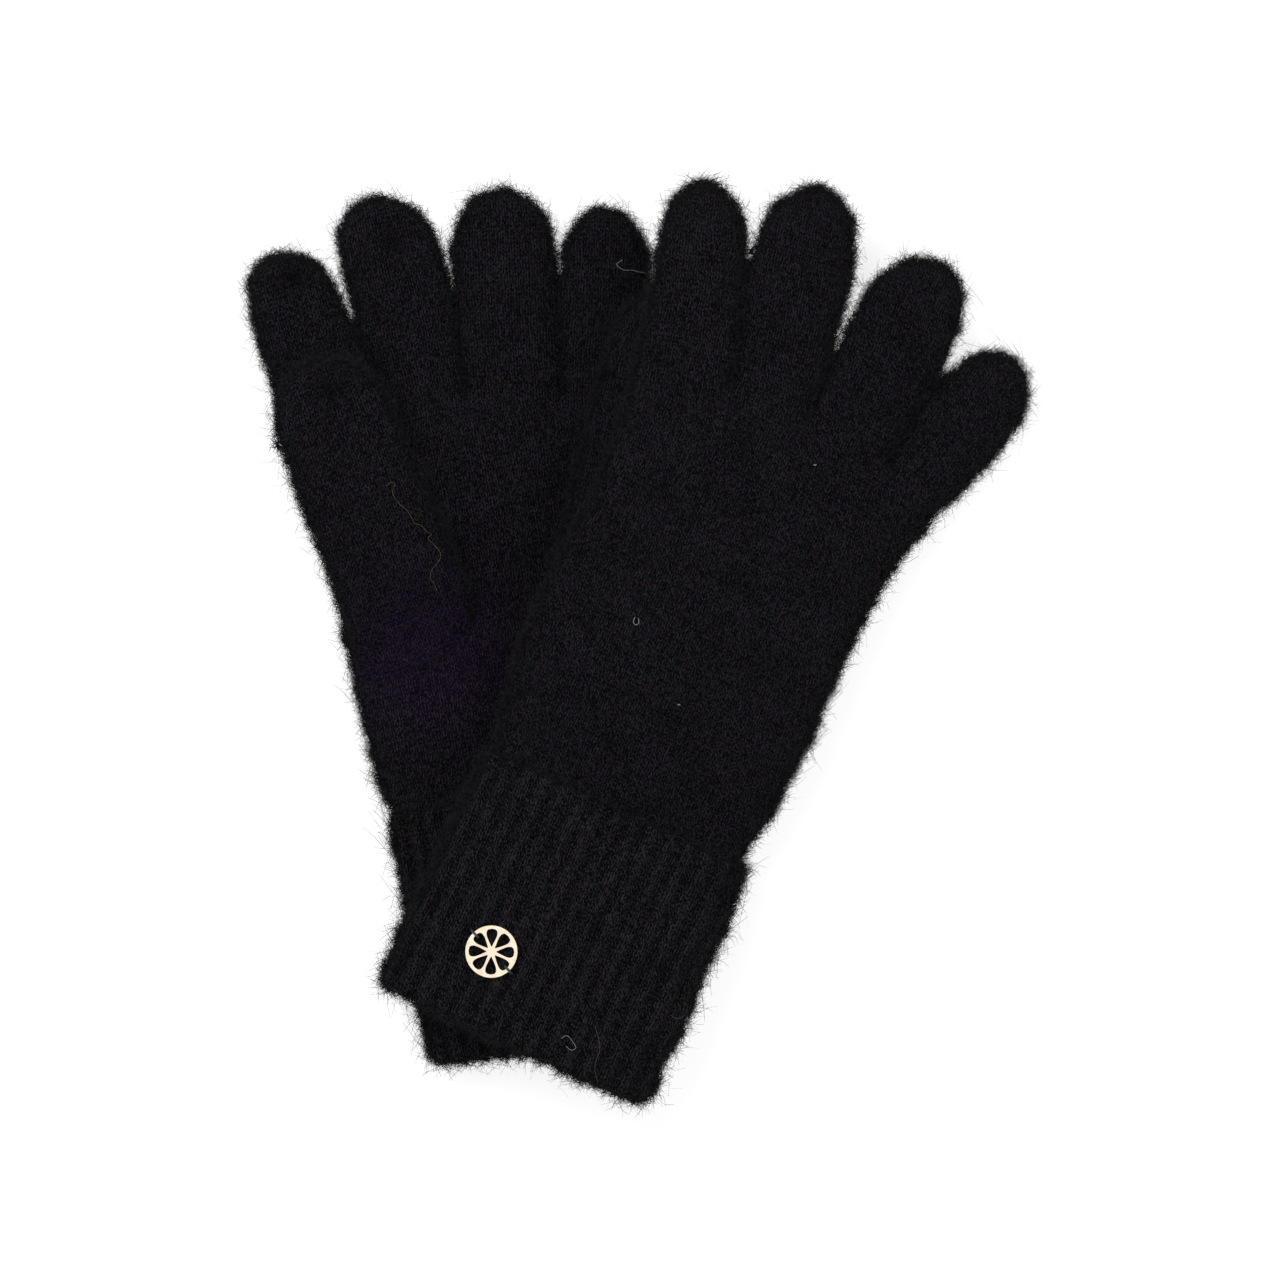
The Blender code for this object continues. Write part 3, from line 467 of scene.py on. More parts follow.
def thread_material():
    """Twisted black sewing thread."""
    n = Material("sewing_thread")
    wave = n.add("TexWave", wave_type="BANDS", bands_direction="DIAGONAL")
    n.link(n.place, wave.inputs["Vector"])
    wave.inputs["Scale"].default_value = 1500.0
    wave.inputs["Distortion"].default_value = 1.0
    shade = ((0.2, (0.004, 0.004, 0.005)), (0.9, (0.02, 0.02, 0.024)))
    n.bump(wave.outputs["Fac"], 0.6, 0.1 * MM)
    n.set(Base_Color=n.ramp(wave.outputs["Fac"], shade), Roughness=0.55)
    return n.material


WOOL = knit_material("wool", (0.0003, 0.0002, 0.0005), (0.0136, 0.0117, 0.0155), 0.002)
RIBBED = knit_material("rib", (0.0003, 0.0003, 0.0004), (0.0164, 0.0145, 0.0178), 0.002)
CONDUCTIVE = knit_material(
    "conductive", (0.0003, 0.0002, 0.0005), (0.0140, 0.0124, 0.0162), 0.003
)
FIBRE = fibre_material()


# Skins on a grid.


def triangles_of(name):
    """A node's points and triangles."""
    mesh = NODES[name].data
    mesh.calc_loop_triangles()
    triangles = [tuple(t.vertices) for t in mesh.loop_triangles]
    return [v.co.copy() for v in mesh.vertices], triangles


def ray_height(tree, x, y, start, way):
    """Where a ray that goes up (1) or down (-1) from a start first meets a tree, or None."""
    hit = tree.ray_cast(Vector((x, y, start)), Vector((0, 0, way)))[0]
    return None if hit is None else hit.z


class Grid:
    """A box of cells that solids fill, and the smooth skin round what they fill."""

    def __init__(self, names, step):
        boxes = np.array([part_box(name) for name in names])
        self.step = step
        self.low = boxes[:, 0].min(axis=0) - 5.0 * step
        high = boxes[:, 1].max(axis=0) + 5.0 * step
        self.cells = np.zeros(np.ceil((high - self.low) / step).astype(int) + 1, np.float32)
        self.tops = np.full(self.cells.shape[:2], -1.0)

    def places(self, axis):
        """Where the cells are along an axis."""
        return self.low[axis] + self.step * np.arange(self.cells.shape[axis])

    def columns(self, name):
        """Each column that may meet a node, with a call for the height that a ray meets in it."""
        tree = BVHTree.FromPolygons(*triangles_of(name))
        low, high = np.array(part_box(name))
        first = np.maximum(((low - self.low) / self.step).astype(int) - 1, 0)
        last = ((high - self.low) / self.step).astype(int) + 2
        for i in range(first[0], last[0]):
            x = self.low[0] + i * self.step
            for j in range(first[1], last[1]):
                y = self.low[1] + j * self.step
                yield i, j, partial(ray_height, tree, x, y)

    def fill(self, i, j, low, high):
        """Fills a column from one height to another."""
        levels = self.places(2)
        under = np.clip((high - levels) / self.step + 0.5, 0.0, 1.0)
        over = np.clip((levels - low) / self.step + 0.5, 0.0, 1.0)
        self.cells[i, j] = np.maximum(self.cells[i, j], under * over)
        self.tops[i, j] = max(self.tops[i, j], high)

    def add_full(self, name):
        """Fills a node from its underside to its top, hollow and all."""
        low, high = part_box(name)
        for i, j, met in self.columns(name):
            top = met(high[2] + CLEAR, -1)
            foot = None if top is None else met(low[2] - CLEAR, 1)
            if foot is not None:
                self.fill(i, j, foot, top)

    def add_hollow(self, name):
        """Fills a node's own walls, and leaves its hollow empty."""
        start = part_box(name)[1][2] + CLEAR
        for i, j, met in self.columns(name):
            hits = [met(start, -1)]
            while hits[-1] is not None and len(hits) < MOST_HITS:
                hits.append(met(hits[-1] - PAST_HIT, -1))
            hits = [hit for hit in hits if hit is not None]
            for top, foot in zip(hits[0::2], hits[1::2]):
                self.fill(i, j, foot, top)

    def bridge(self, spot, reach, inset):
        """Fills the empty columns near a spot, a little thinner than the full ones beside them."""
        x, y = self.places(0), self.places(1)
        near = np.hypot(x[:, None] - spot[0], y[None, :] - spot[1]) < reach
        full = near & (self.tops > 0.0)
        feet = self.places(2)[(self.cells[full] > 0.5).argmax(axis=1)]
        low, high = feet.mean() + inset, self.tops[full].mean() - inset
        for i, j in np.argwhere(near & ~full):
            self.fill(i, j, low, high)

    def ease(self, reach):
        """Blurs the filled cells by a normal curve of that many cells."""
        taps = np.arange(-3, 4)
        weights = np.exp(-0.5 * (taps / reach) ** 2)
        weights /= weights.sum()
        for axis in range(3):
            total = np.zeros_like(self.cells)
            for tap, weight in zip(taps, weights):
                total += weight * np.roll(self.cells, tap, axis)
            self.cells = total

    def skin(self, level):
        """Points and four-sided faces of the surface where the filling crosses the level."""
        field = self.cells - level
        inside = field > 0.0
        shape = np.array(field.shape) - 1
        corners = list(itertools.product((0, 1), repeat=3))
        count = np.zeros(shape, np.int8)
        for x, y, z in corners:
            count += inside[x : x + shape[0], y : y + shape[1], z : z + shape[2]]
        active = np.argwhere((count > 0) & (count < 8))
        index = np.full(shape, -1, np.int64)
        index[tuple(active.T)] = np.arange(len(active))
        at_corner = {c: field[tuple((active + c).T)] for c in corners}
        total = np.zeros((len(active), 3))
        crossed = np.zeros(len(active))
        for axis in range(3):
            for one in [c for c in corners if c[axis] == 0]:
                two = one[:axis] + (1,) + one[axis + 1 :]
                f, g = at_corner[one], at_corner[two]
                cut = (f > 0.0) != (g > 0.0)
                spot = np.tile(np.array(one, float), (len(active), 1))
                spot[:, axis] = np.where(cut, f / np.where(cut, f - g, 1.0), 0.0)
                total += spot * cut[:, None]
                crossed += cut
        points = self.low + self.step * (active + total / crossed[:, None])
        faces = []
        units = np.eye(3, dtype=int)
        for axis, step in enumerate(units):
            size = np.array(field.shape) - step
            near = inside[: size[0], : size[1], : size[2]]
            far = inside[step[0] :, step[1] :, step[2] :]
            u, v = np.delete(units, axis, axis=0)
            for flip, crossing in ((False, near & ~far), (True, ~near & far)):
                spots = np.argwhere(crossing)
                spots = spots[(spots @ u > 0) & (spots @ v > 0)]
                ring = [index[tuple((spots - back).T)] for back in (0 * u, u, u + v, v)]
                quad = np.stack(ring, axis=1)
                if flip != (axis == 1):
                    quad = quad[:, ::-1]
                faces.append(quad)
        return points, np.concatenate(faces)

    def depths(self, points):
        """How far each point lies under its column's top, carried a little past the edges."""
        tops = self.tops
        for _ in range(4):
            beside = [np.roll(tops, way, axis) for axis in (0, 1) for way in (-1, 1)]
            tops = np.where(tops < 0.0, np.max(beside, axis=0), tops)
        spots = ((points[:, :2] - self.low[:2]) / self.step + 0.5).astype(int)
        spots = np.clip(spots, 0, np.array(tops.shape) - 1)
        return tops[spots[:, 0], spots[:, 1]] - points[:, 2]


def relax(points, faces, rounds, amount=0.5):
    """Evens the points out towards their neighbours, by one amount or one for each point."""
    one, two = faces.ravel(), np.roll(faces, -1, axis=1).ravel()
    count = np.bincount(one, minlength=len(points)) + np.bincount(two, minlength=len(points))
    for _ in range(rounds):
        mean = np.zeros_like(points)
        for axis in range(3):
            mean[:, axis] = np.bincount(one, points[two, axis], len(points))
            mean[:, axis] += np.bincount(two, points[one, axis], len(points))
        mean /= np.maximum(count, 1)[:, None]
        points = points + (mean - points) * np.reshape(amount, (-1, 1))
    return points


def normals_of(points, faces):
    """A normal at every point."""
    a, b, c, d = (points[faces[:, k]] for k in range(4))
    flat = np.cross(c - a, d - b)
    result = np.zeros_like(points)
    for k in range(4):
        for axis in range(3):
            result[:, axis] += np.bincount(faces[:, k], flat[:, axis], len(points))
    return unit(result)


def ripple(points, size, seed):
    """A smooth, uneven value between -1 and 1 at each point."""
    rng = np.random.default_rng(seed)
    total = np.zeros(len(points))
    for _ in range(7):
        way = rng.normal(size=3)
        way /= np.linalg.norm(way)
        stretch = rng.uniform(0.6, 1.7)
        phase = rng.uniform(0.0, 2.0 * math.pi)
        total += np.sin(points @ way * (2.0 * math.pi * stretch / size) + phase)
    return total / 7.0


def rippled(points, normals, part):
    """The points of a part's skin, moved in and out by its slow ripples."""
    for size, height, seed in RIPPLES[part]:
        points = points + normals * (height * ripple(points, size, seed))[:, None]
    return points


def glove_axes(side):
    """The glove's own directions in the scene: to its right, and along it to the fingers."""
    turn = math.radians(TURN[side])
    right = np.array((math.cos(turn), math.sin(turn), 0.0))
    return right, np.array((-math.sin(turn), math.cos(turn), 0.0))


def glove_plan(side, points):
    """Each point's place in the glove's own plan: across and along from the cuff's fold."""
    right, up = glove_axes(side)
    x, y = (points[:, :2] - FOLD_AT[side]).T
    return x * right[0] + y * right[1], x * up[0] + y * up[1]


class Tube:
    """The plan of a finger or thumb, read from its own solids: heading, middle and widths."""

    def __init__(self, *names):
        points = np.concatenate([mesh_points(name) for name in names])
        flat = points[:, :2]
        self.root_mean = flat.mean(axis=0)
        values, vectors = np.linalg.eigh(np.cov((flat - self.root_mean).T))
        heading = vectors[:, int(np.argmax(values))]
        self.heading = heading if heading[1] > 0.0 else -heading
        self.side = np.array((self.heading[1], -self.heading[0]))
        along = (flat - self.root_mean) @ self.heading
        across = (flat - self.root_mean) @ self.side
        self.start = along.min()
        self.length = along.max() - self.start
        self.marks = np.linspace(0.0, self.length, 9)
        reach = 0.09 * self.length
        spans = [across[np.abs(along - self.start - mark) < reach] for mark in self.marks]
        low, high = np.array([(span.min(), span.max()) for span in spans]).T
        self.middles, self.halves = 0.5 * (low + high), 0.5 * (high - low)

    def place(self, points):
        """Each point's way along the tube and across it, and the half width there."""
        flat = points[:, :2] - self.root_mean
        along = flat @ self.heading - self.start
        across = flat @ self.side - np.interp(along, self.marks, self.middles)
        return along, across, np.interp(along, self.marks, self.halves)

    def spot(self, along, across=0.0, z=0.0):
        """The scene's point at a way along and across."""
        middle = float(np.interp(along, self.marks, self.middles)) + across
        flat = self.root_mean + self.heading * (self.start + along) + self.side * middle
        return Vector((flat[0], flat[1], z))


def mesh_points(name):
    """Points all along a node's edges."""
    mesh = NODES[name].data
    points = np.array([v.co for v in mesh.vertices])
    edges = np.array([e.vertices for e in mesh.edges])
    one, two = points[edges[:, 0]], points[edges[:, 1]]
    return np.concatenate([one + (two - one) * t for t in np.linspace(0.0, 1.0, 13)])


# Pieces.

# The skins that stray fibres may lie on: all but the right thumb's, which the hand hides.
KNIT_TREES = []
THUMB_MOTION = {}


def make_mesh(name, points, faces, material, knit=None):
    """A mesh object from arrays."""
    mesh = bpy.data.meshes.new(name)
    mesh.vertices.add(len(points))
    mesh.vertices.foreach_set("co", points.astype(np.float32).ravel())
    mesh.loops.add(faces.size)
    mesh.loops.foreach_set("vertex_index", faces.astype(np.int32).ravel())
    mesh.polygons.add(len(faces))
    mesh.polygons.foreach_set("loop_start", np.arange(0, faces.size, 4, dtype=np.int32))
    mesh.update(calc_edges=True)
    if knit is not None:
        layer = mesh.uv_layers.new(name="knit")
        layer.data.foreach_set("uv", knit[faces.ravel()].astype(np.float32).ravel())
    mesh.shade_smooth()
    mesh.materials.append(material)
    made = bpy.data.objects.new(name, mesh)
    bpy.context.scene.collection.objects.link(made)
    return made


def strew(rng, corners, up, weight, count, kind, heading, long_share):
    """A number of curling ribbons of one kind, rooted over the faces by their weight."""
    a, b, c, d = corners
    pick = rng.choice(len(weight), size=count, p=weight / weight.sum())
    s, t = rng.random((count, 1)), rng.random((count, 1))
    root = (a[pick] * (1 - s) + b[pick] * s) * (1 - t) + (d[pick] * (1 - s) + c[pick] * s) * t
    up = up[pick]
    flat = rng.normal(size=(count, 3)) + np.asarray(heading) * 0.35
    flat = unit(flat - (flat * up).sum(axis=1)[:, None] * up)
    side = np.cross(up, flat)
    length = MM * rng.uniform(*kind["length"], size=count)
    length *= 1.0 + long_share * rng.random(count) ** 7
    rise = np.radians(rng.uniform(*kind["rise"], size=count))
    droop = rng.uniform(0.0, 0.6, count)
    curl = rng.normal(0.0, 0.55, count)
    swing = rng.uniform(0.04, 0.16, count)
    turns = rng.uniform(0.6, 1.5, count)
    phase = rng.uniform(0.0, 2.0 * math.pi, count)
    twist = rng.uniform(0.0, math.pi, count)
    broad = side * np.cos(twist)[:, None] + up * np.sin(twist)[:, None]
    marks = np.linspace(0.0, 1.0, kind["parts"] + 1)
    rows = []
    for m in marks:
        out = length * m * np.cos(rise)
        lift = length * np.sin(rise) * (m - droop * m * m) - ROOT_DEPTH
        wave = swing * (np.sin(2.0 * math.pi * turns * m + phase) - np.sin(phase))
        bend = length * (curl * m * m + wave)
        place = root + flat * out[:, None] + up * lift[:, None] + side * bend[:, None]
        width = 0.5 * MM * kind["width"] * (1.0 - 0.6 * m)
        rows.append(np.stack([place - broad * width, place + broad * width], axis=1))
    ribbon = np.stack(rows, axis=1).reshape(-1, 3)
    base = np.arange(count)[:, None] * 2 * len(marks)
    quads = [base + np.array([[k, k + 1, k + 3, k + 2]]) for k in range(0, 2 * kind["parts"], 2)]
    return ribbon, np.concatenate(quads)


def fibres(name, points, faces, normals, heading, long_share, seed):
    """Loose fibres: short ones that lie over a skin, and a fringe that stands off its outline."""
    rng = np.random.default_rng(seed)
    corners = [points[faces[:, k]] for k in range(4)]
    cross = np.cross(corners[2] - corners[0], corners[3] - corners[1])
    square_mm = 0.5e6 * np.linalg.norm(cross, axis=1)
    up = unit(normals[faces].mean(axis=1))
    rim = smooth((0.75 - np.abs(up[:, 2])) / 0.45)
    rim *= 0.3 + 1.4 * (0.5 + 0.9 * ripple(sum(corners) / 4.0, TUFT, seed)) ** 2
    under = np.where(up[:, 2] < -0.4, UNDERSIDE_SHARE, 1.0)
    made = []
    for label, kind, share in (("_fibres", LYING, under), ("_fringe", STANDING, rim)):
        weight = square_mm * kind["density"] * share
        count = int(min(weight.sum(), MOST_FIBRE_FACES / kind["parts"]))
        cloud, quads = strew(rng, corners, up, weight, count, kind, heading, long_share)
        cloud[:, 2] = np.maximum(cloud[:, 2], FLOOR_LIFT)
        made.append(make_mesh(name + label, cloud, quads, FIBRE))
    return made


def settle(piece, motion):
    """Makes the piece ride on its body, or else bakes it where it lies."""
    if isinstance(motion, str):
        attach(piece, motion)
    else:
        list(motion)
        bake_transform(piece)
    return piece


def dress(name, points, faces, normals, knit, look, motion, heading, seed, long_share=LONG_SHARE):
    """A skin and its loose fibres, on the same motion."""
    skin = make_mesh(name, points, faces, look, knit)
    if not name.startswith("right_thumb"):
        KNIT_TREES.append(BVHTree.FromPolygons(points.tolist(), faces.tolist()))
    for piece in (skin, *fibres(name, points, faces, normals, heading, long_share, seed)):
        settle(piece, motion)
    return skin


def cut_out(solid, shape, mask, across, along, look, motion, heading, seed):
    """Parts a solid's own piece from a skin and dresses it, and the piece stands for the solid."""
    points, faces, normals, depth = shape
    knit = np.stack([across + np.sign(across) * np.maximum(depth, 0.0), along], axis=1)
    used, faces = np.unique(faces[mask], return_inverse=True)
    faces = faces.reshape(-1, 4)
    points, normals, knit = points[used], normals[used], knit[used]
    name = solid + "_knit"
    skin = dress(name, points, faces, normals, knit, look, motion, heading, seed)
    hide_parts(solid)


def pucker(points, normals, tube, part):
    """Draws the knit in to the gathered point at the end of a finger or thumb."""
    back, size = PUCKERS[part]
    spot = tube.spot(tube.length - back)
    away = np.linalg.norm(points[:, :2] - np.array(spot)[:2], axis=1)
    angle = np.arctan2(points[:, 1] - spot[1], points[:, 0] - spot[0])
    dent = np.exp(-((away / size) ** 2))
    fold = np.cos(7.0 * angle) * np.exp(-(((away - 1.1 * size) / (0.7 * size)) ** 2))
    facing = np.clip(normals[:, 2], 0.0, 1.0)
    return points - normals * (PUCKER_DEPTH * (dent + 0.22 * fold) * facing)[:, None]


def soften_knuckles(side, points, faces):
    """Eases the step and the seam between the hand and its fingers."""
    across, along = glove_plan(side, points)
    line = np.array(KNUCKLES[side]) * MM
    away = np.abs(along - np.interp(across, line[:, 0], line[:, 1]))
    return relax(points, faces, 26, 0.5 * (1.0 - smooth((away - 3.0 * MM) / (7.0 * MM))))


def owner_of(tubes, points):
    """The finger, 1 to 4, that each point belongs to, or 0 for the hand."""
    owner = np.zeros(len(points), int)
    best = np.full(len(points), 1.25)
    for number, f in enumerate(FINGERS, start=1):
        along, across, half = tubes[f].place(points)
        share = np.abs(across) / np.maximum(half, 1e-6)
        mine = (along > 3.0 * MM) & (share < best)
        best = np.where(mine, share, best)
        owner = np.where(mine, number, owner)
    return owner


def lean_finger(points, mine, tube, lean, power, slim, short):
    """Leans a finger's end sideways, slims it and shortens it, by millimetres at its tip."""
    way, off, half = tube.place(points)
    share = np.clip(way / tube.length, 0.0, 1.0)
    outward = np.clip(off / np.maximum(half, 1e-6), -1.0, 1.0)
    shift = lean * MM * share**power
    shift -= slim * MM * outward * smooth(share * 2.0 - 0.9)
    back = short * MM * smooth(share * 4.0 - 3.0)
    moved = points.copy()
    moved[:, :2] += np.where(mine, shift, 0.0)[:, None] * tube.side
    moved[:, :2] -= np.where(mine, back, 0.0)[:, None] * tube.heading
    return moved


def crotch_point(side, number):
    """Where two neighbouring fingers meet the hand."""
    right, up = glove_axes(side)
    u, v = np.array(KNUCKLES[side][number]) * MM
    return np.array(FOLD_AT[side]) + right[:2] * u + up[:2] * v


def close_gaps(side, points, faces, normals, owner):
    """Brings the sides of neighbouring fingers together, up to where they part."""
    closed = points.copy()
    for number, parting in enumerate(PARTING[side], start=1):
        root = crotch_point(side, number)
        line = np.array(parting) * MM - root
        reach = np.linalg.norm(line)
        line /= reach
        square = np.array((line[1], -line[0]))
        way = (closed[:, :2] - root) @ line
        off = (closed[:, :2] - root) @ square
        stations = np.linspace(3.0 * MM, reach + 6.0 * MM, GAP_STATIONS)
        low, high = [], []
        for station in stations:
            near = np.abs(way - station) < 1.5 * MM
            low.append(off[near & (owner == number)].max())
            high.append(off[near & (owner == number + 1)].min())
        low, high = np.array(low), np.array(high)
        middle = np.interp(way, stations, 0.5 * (low + high))
        half = np.interp(way, stations, np.maximum(0.5 * (high - low), 0.0))
        away = np.abs(off - middle)
        sign = np.where(owner == number, 1.0, np.where(owner == number + 1, -1.0, 0.0))
        crotch = (np.abs(way) < CROTCH_REACH) & (away < half + CROTCH_MARGIN)
        sign = np.where(crotch, np.where(off < middle, 1.0, -1.0), sign)
        facing = np.clip(sign * (normals[:, :2] @ square), 0.0, 1.0)
        facing = np.where(crotch, smooth(facing / 0.25), facing**0.5)
        near = smooth((half + 5.0 * MM - away) / (3.0 * MM))
        held = smooth((reach + 3.0 * MM - way) / (6.0 * MM))
        held = held * smooth((way + 6.0 * MM) / (2.0 * MM))
        amount = np.minimum(half + GAP_PRESS, MOST_SHIFT)
        amount = np.where(crotch, away + CROTCH_PRESS, amount)
        closed[:, :2] += (sign * amount * facing * near * held)[:, None] * square
    moved = np.linalg.norm(closed - points, axis=1)
    return relax(closed, faces, 4, 0.5 * smooth(moved / (1.0 * MM)))


def skin_round(names, crotches=()):
    """The grid that solids fill, hollow and all, and the points and faces of the skin round it."""
    grid = Grid(names, STEP)
    for name in names:
        grid.add_full(name)
    for spot in crotches:
        grid.bridge(spot, WEB_REACH, WEB_INSET)
    grid.ease(EASE)
    points, faces = grid.skin(SKIN_LEVEL)
    return grid, relax(points, faces, 2), faces


def hand_skin(side, tubes):
    """A hand and its fingers as one skin: points, faces, normals and depths under the top."""
    names = [f"{side}_hand"] + [f"{side}_{f}" for f in FINGERS] + [f"{side}_index_tip"]
    crotches = [crotch_point(side, number) for number in (1, 2, 3)]
    grid, points, faces = skin_round(names, crotches)
    points = soften_knuckles(side, points, faces)
    normals = normals_of(points, faces)
    depth = grid.depths(points)
    owner = owner_of(tubes, points)
    for number, f in enumerate(FINGERS, start=1):
        points = lean_finger(points, owner == number, tubes[f], *LEAN[side][f])
    points = close_gaps(side, points, faces, normals, owner)
    points = rippled(points, normals, "hand")
    if side == "left":
        for f in ("index", "middle"):
            points = pucker(points, normals, tubes[f], f)
    points[:, 2] = np.maximum(points[:, 2], 0.0)
    return points, faces, normals_of(points, faces), depth


def bent(name, tube, least, start, end):
    """The joint's parent and child bodies, and the points along the tube from one way past it to
    another.
    """
    joint = JOINTS[name]
    pivot = np.array(joint["pos_m"])
    at = max(float(tube.place(pivot[None, :])[0][0]), least)
    ends = (tube.spot(at + way, z=pivot[2]) for way in (start, end))
    return joint["parent"], joint["child"], *ends


def finger_motion(side, finger, tube):
    """A finger's motion: its own joint's bodies and points if it has one, and else its glove."""
    for name in (f"{side}_{finger}_fold", f"{side}_{finger}_end_fold"):
        if name in JOINTS:
            return bent(name, tube, FOLD_START, 0.0, FOLD_LENGTH)
    return f"{side}_glove"


def build_hand(side):
    """The skin of a glove's hand and fingers, parted where the fingers fold."""
    body = f"{side}_glove"
    seed = SEEDS[side]["hand"]
    tubes = {f: Tube(f"{side}_{f}") for f in FINGERS}
    tubes["index"] = Tube(f"{side}_index", f"{side}_index_tip")
    shape = hand_skin(side, tubes)
    points, faces = shape[:2]
    middle = points[faces].mean(axis=1)
    owner = owner_of(tubes, middle)
    across, along = glove_plan(side, points)
    up = glove_axes(side)[1]
    cut_out(f"{side}_hand", shape, owner == 0, across, along, WOOL, body, up, seed)
    for number, f in enumerate(FINGERS, start=1):
        tube = tubes[f]
        root_across, root_along = glove_plan(side, np.array(tube.spot(0.0))[None, :])
        way, off, _ = tube.place(points)
        motion = finger_motion(side, f, tube)
        mine = owner == number
        cuts = [(f"{side}_{f}", mine, WOOL, motion)]
        if f == "index":
            tip_start = tube.length - TIP_LENGTH - TIP_FOLD_ROOM[side]
            tip = mine & (tube.place(middle)[0] > tip_start)
            cuts = [
                (f"{side}_index", mine & ~tip, WOOL, body if side == "left" else motion),
                (f"{side}_index_tip", tip, CONDUCTIVE, motion),
            ]
        for n, (solid, mask, look, moves) in enumerate(cuts):
            cut_out(
                solid, shape, mask, off + root_across, way + root_along, look, moves,
                (*tube.heading, 0.0), seed + number + 5 * n,
            )


def build_thumb(side):
    """The skin of a thumb tube and of its conductive end. Gives the thumb's motion."""
    names = (f"{side}_thumb", f"{side}_thumb_tip")
    grid, points, faces = skin_round(names)
    normals = normals_of(points, faces)
    depth = grid.depths(points)
    points = rippled(points, normals, "thumb")
    tube = Tube(*names)
    along = tube.place(points)[0]
    grown = 0.06 + 0.94 * smooth(along / THUMB_FADE[side])
    seat = THUMB_SEAT[side]
    points[:, 2] = seat + (points[:, 2] - seat) * grown - THUMB_SINK[side] * (1.0 - grown) ** 2
    if side == "left":
        share = along / tube.length
        bulge = smooth((share - 0.05) / 0.3) * smooth((0.95 - share) / 0.5)
        points[:, :2] += (THUMB_BOW * bulge)[:, None] * tube.side
        points = pucker(points, normals, tube, "thumb")
    shape = (points, faces, normals_of(points, faces), depth)
    way, off, _ = tube.place(points)
    tip = tube.place(points[faces].mean(axis=1))[0] > tube.length - TIP_LENGTH
    least, end = THUMB_BEND_FROM[side], THUMB_BEND_END[side]
    motion = bent(THUMB_JOINT[side], tube, least, THUMB_BEND_START, end)
    heading = (*tube.heading, 0.0)
    for n, (solid, mask, look) in enumerate(zip(names, (~tip, tip), (WOOL, CONDUCTIVE))):
        seed = SEEDS[side]["thumb"] + n
        cut_out(solid, shape, mask, off, way, look, motion, heading, seed)
    return motion


def outline_cuff(side, points, spread, along):
    """Swells a cuff's sides as they lie in the photo, and rounds its corners at the fold."""
    right, up = glove_axes(side)
    half = 0.5 * (spread.max() - spread.min())
    outer = smooth((np.abs(spread) / half - 0.6) / 0.35)
    if side == "right":
        swell = 0.9 + 0.5 * np.sin(2.0 * math.pi * along / (26.0 * MM) + 1.2)
        flare = 1.2 * smooth((26.0 * MM - along) / (16.0 * MM))
        out = MM * np.where(spread > 0.0, swell, -flare)
        lower = 0.0
    else:
        out = MM * np.where(spread < 0.0, 0.9 * smooth((along - 30.0 * MM) / (12.0 * MM)), 0.0)
        lower = 0.7 * MM * smooth((9.0 * MM - along) / (7.0 * MM))
    inner = np.maximum(CORNER - (half - np.abs(spread)), 0.0)
    below = np.maximum(CORNER - along, 0.0)
    reach = np.maximum(np.hypot(inner, below), 1e-6)
    pull = np.maximum(1.0 - CORNER / reach, 0.0) * (inner > 0.0) * (below > 0.0)
    points = points + right * (out * outer)[:, None]
    points = points - right * (np.sign(spread) * inner * pull)[:, None]
    return points + up * (below * pull - lower)[:, None]


def build_cuff(side):
    """A turned-back cuff, with its ribs."""
    name = f"{side}_cuff"
    grid = Grid([name], CUFF_STEP)
    grid.add_hollow(name)
    grid.ease(CUFF_EASE)
    points, faces = grid.skin(SKIN_LEVEL)
    points = relax(points, faces, 3)
    normals = normals_of(points, faces)
    across, along = glove_plan(side, points)
    depth = grid.depths(points)
    spread = across - 0.5 * (across.max() + across.min())
    around = spread + np.sign(spread) * np.minimum(np.maximum(depth, 0.0), 12.0 * MM)
    size, drift, seed = RIB_DRIFT
    around = around + drift * ripple(points, size, seed)
    wave = np.cos(around * (2.0 * math.pi / RIB))
    rib = np.sign(wave) * np.abs(wave) ** 0.8
    points = points + normals * (RIB_RELIEF * (0.8 * rib - 0.25))[:, None]
    points = rippled(points, normals, "cuff")
    up = glove_axes(side)[1]
    scallop = np.clip(1.0 - along / (5.0 * MM), 0.0, 1.0)
    points = points - up * (0.3 * MM * scallop * rib)[:, None]
    points = outline_cuff(side, points, spread, along)
    points[:, 2] = np.maximum(points[:, 2], 0.0)
    normals = normals_of(points, faces)
    knit = np.stack([around, along], axis=1)
    skin = dress(
        name + "_knit", points, faces, normals, knit, RIBBED, f"{side}_glove", up,
        SEEDS[side]["cuff"], CUFF_LONG_SHARE,
    )
    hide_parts(name)


def lint_material(name, colour):
    """A stray fibre of another colour."""
    n = Material(name)
    tone = n.noise(n.place, 1500.0, 2.0, 0.5)
    colour = n.ramp(tone, ((0.3, tuple(0.5 * c for c in colour)), (0.7, colour)))
    n.set(Base_Color=colour, Roughness=0.6, Specular_IOR_Level=0.2)
    return n.material


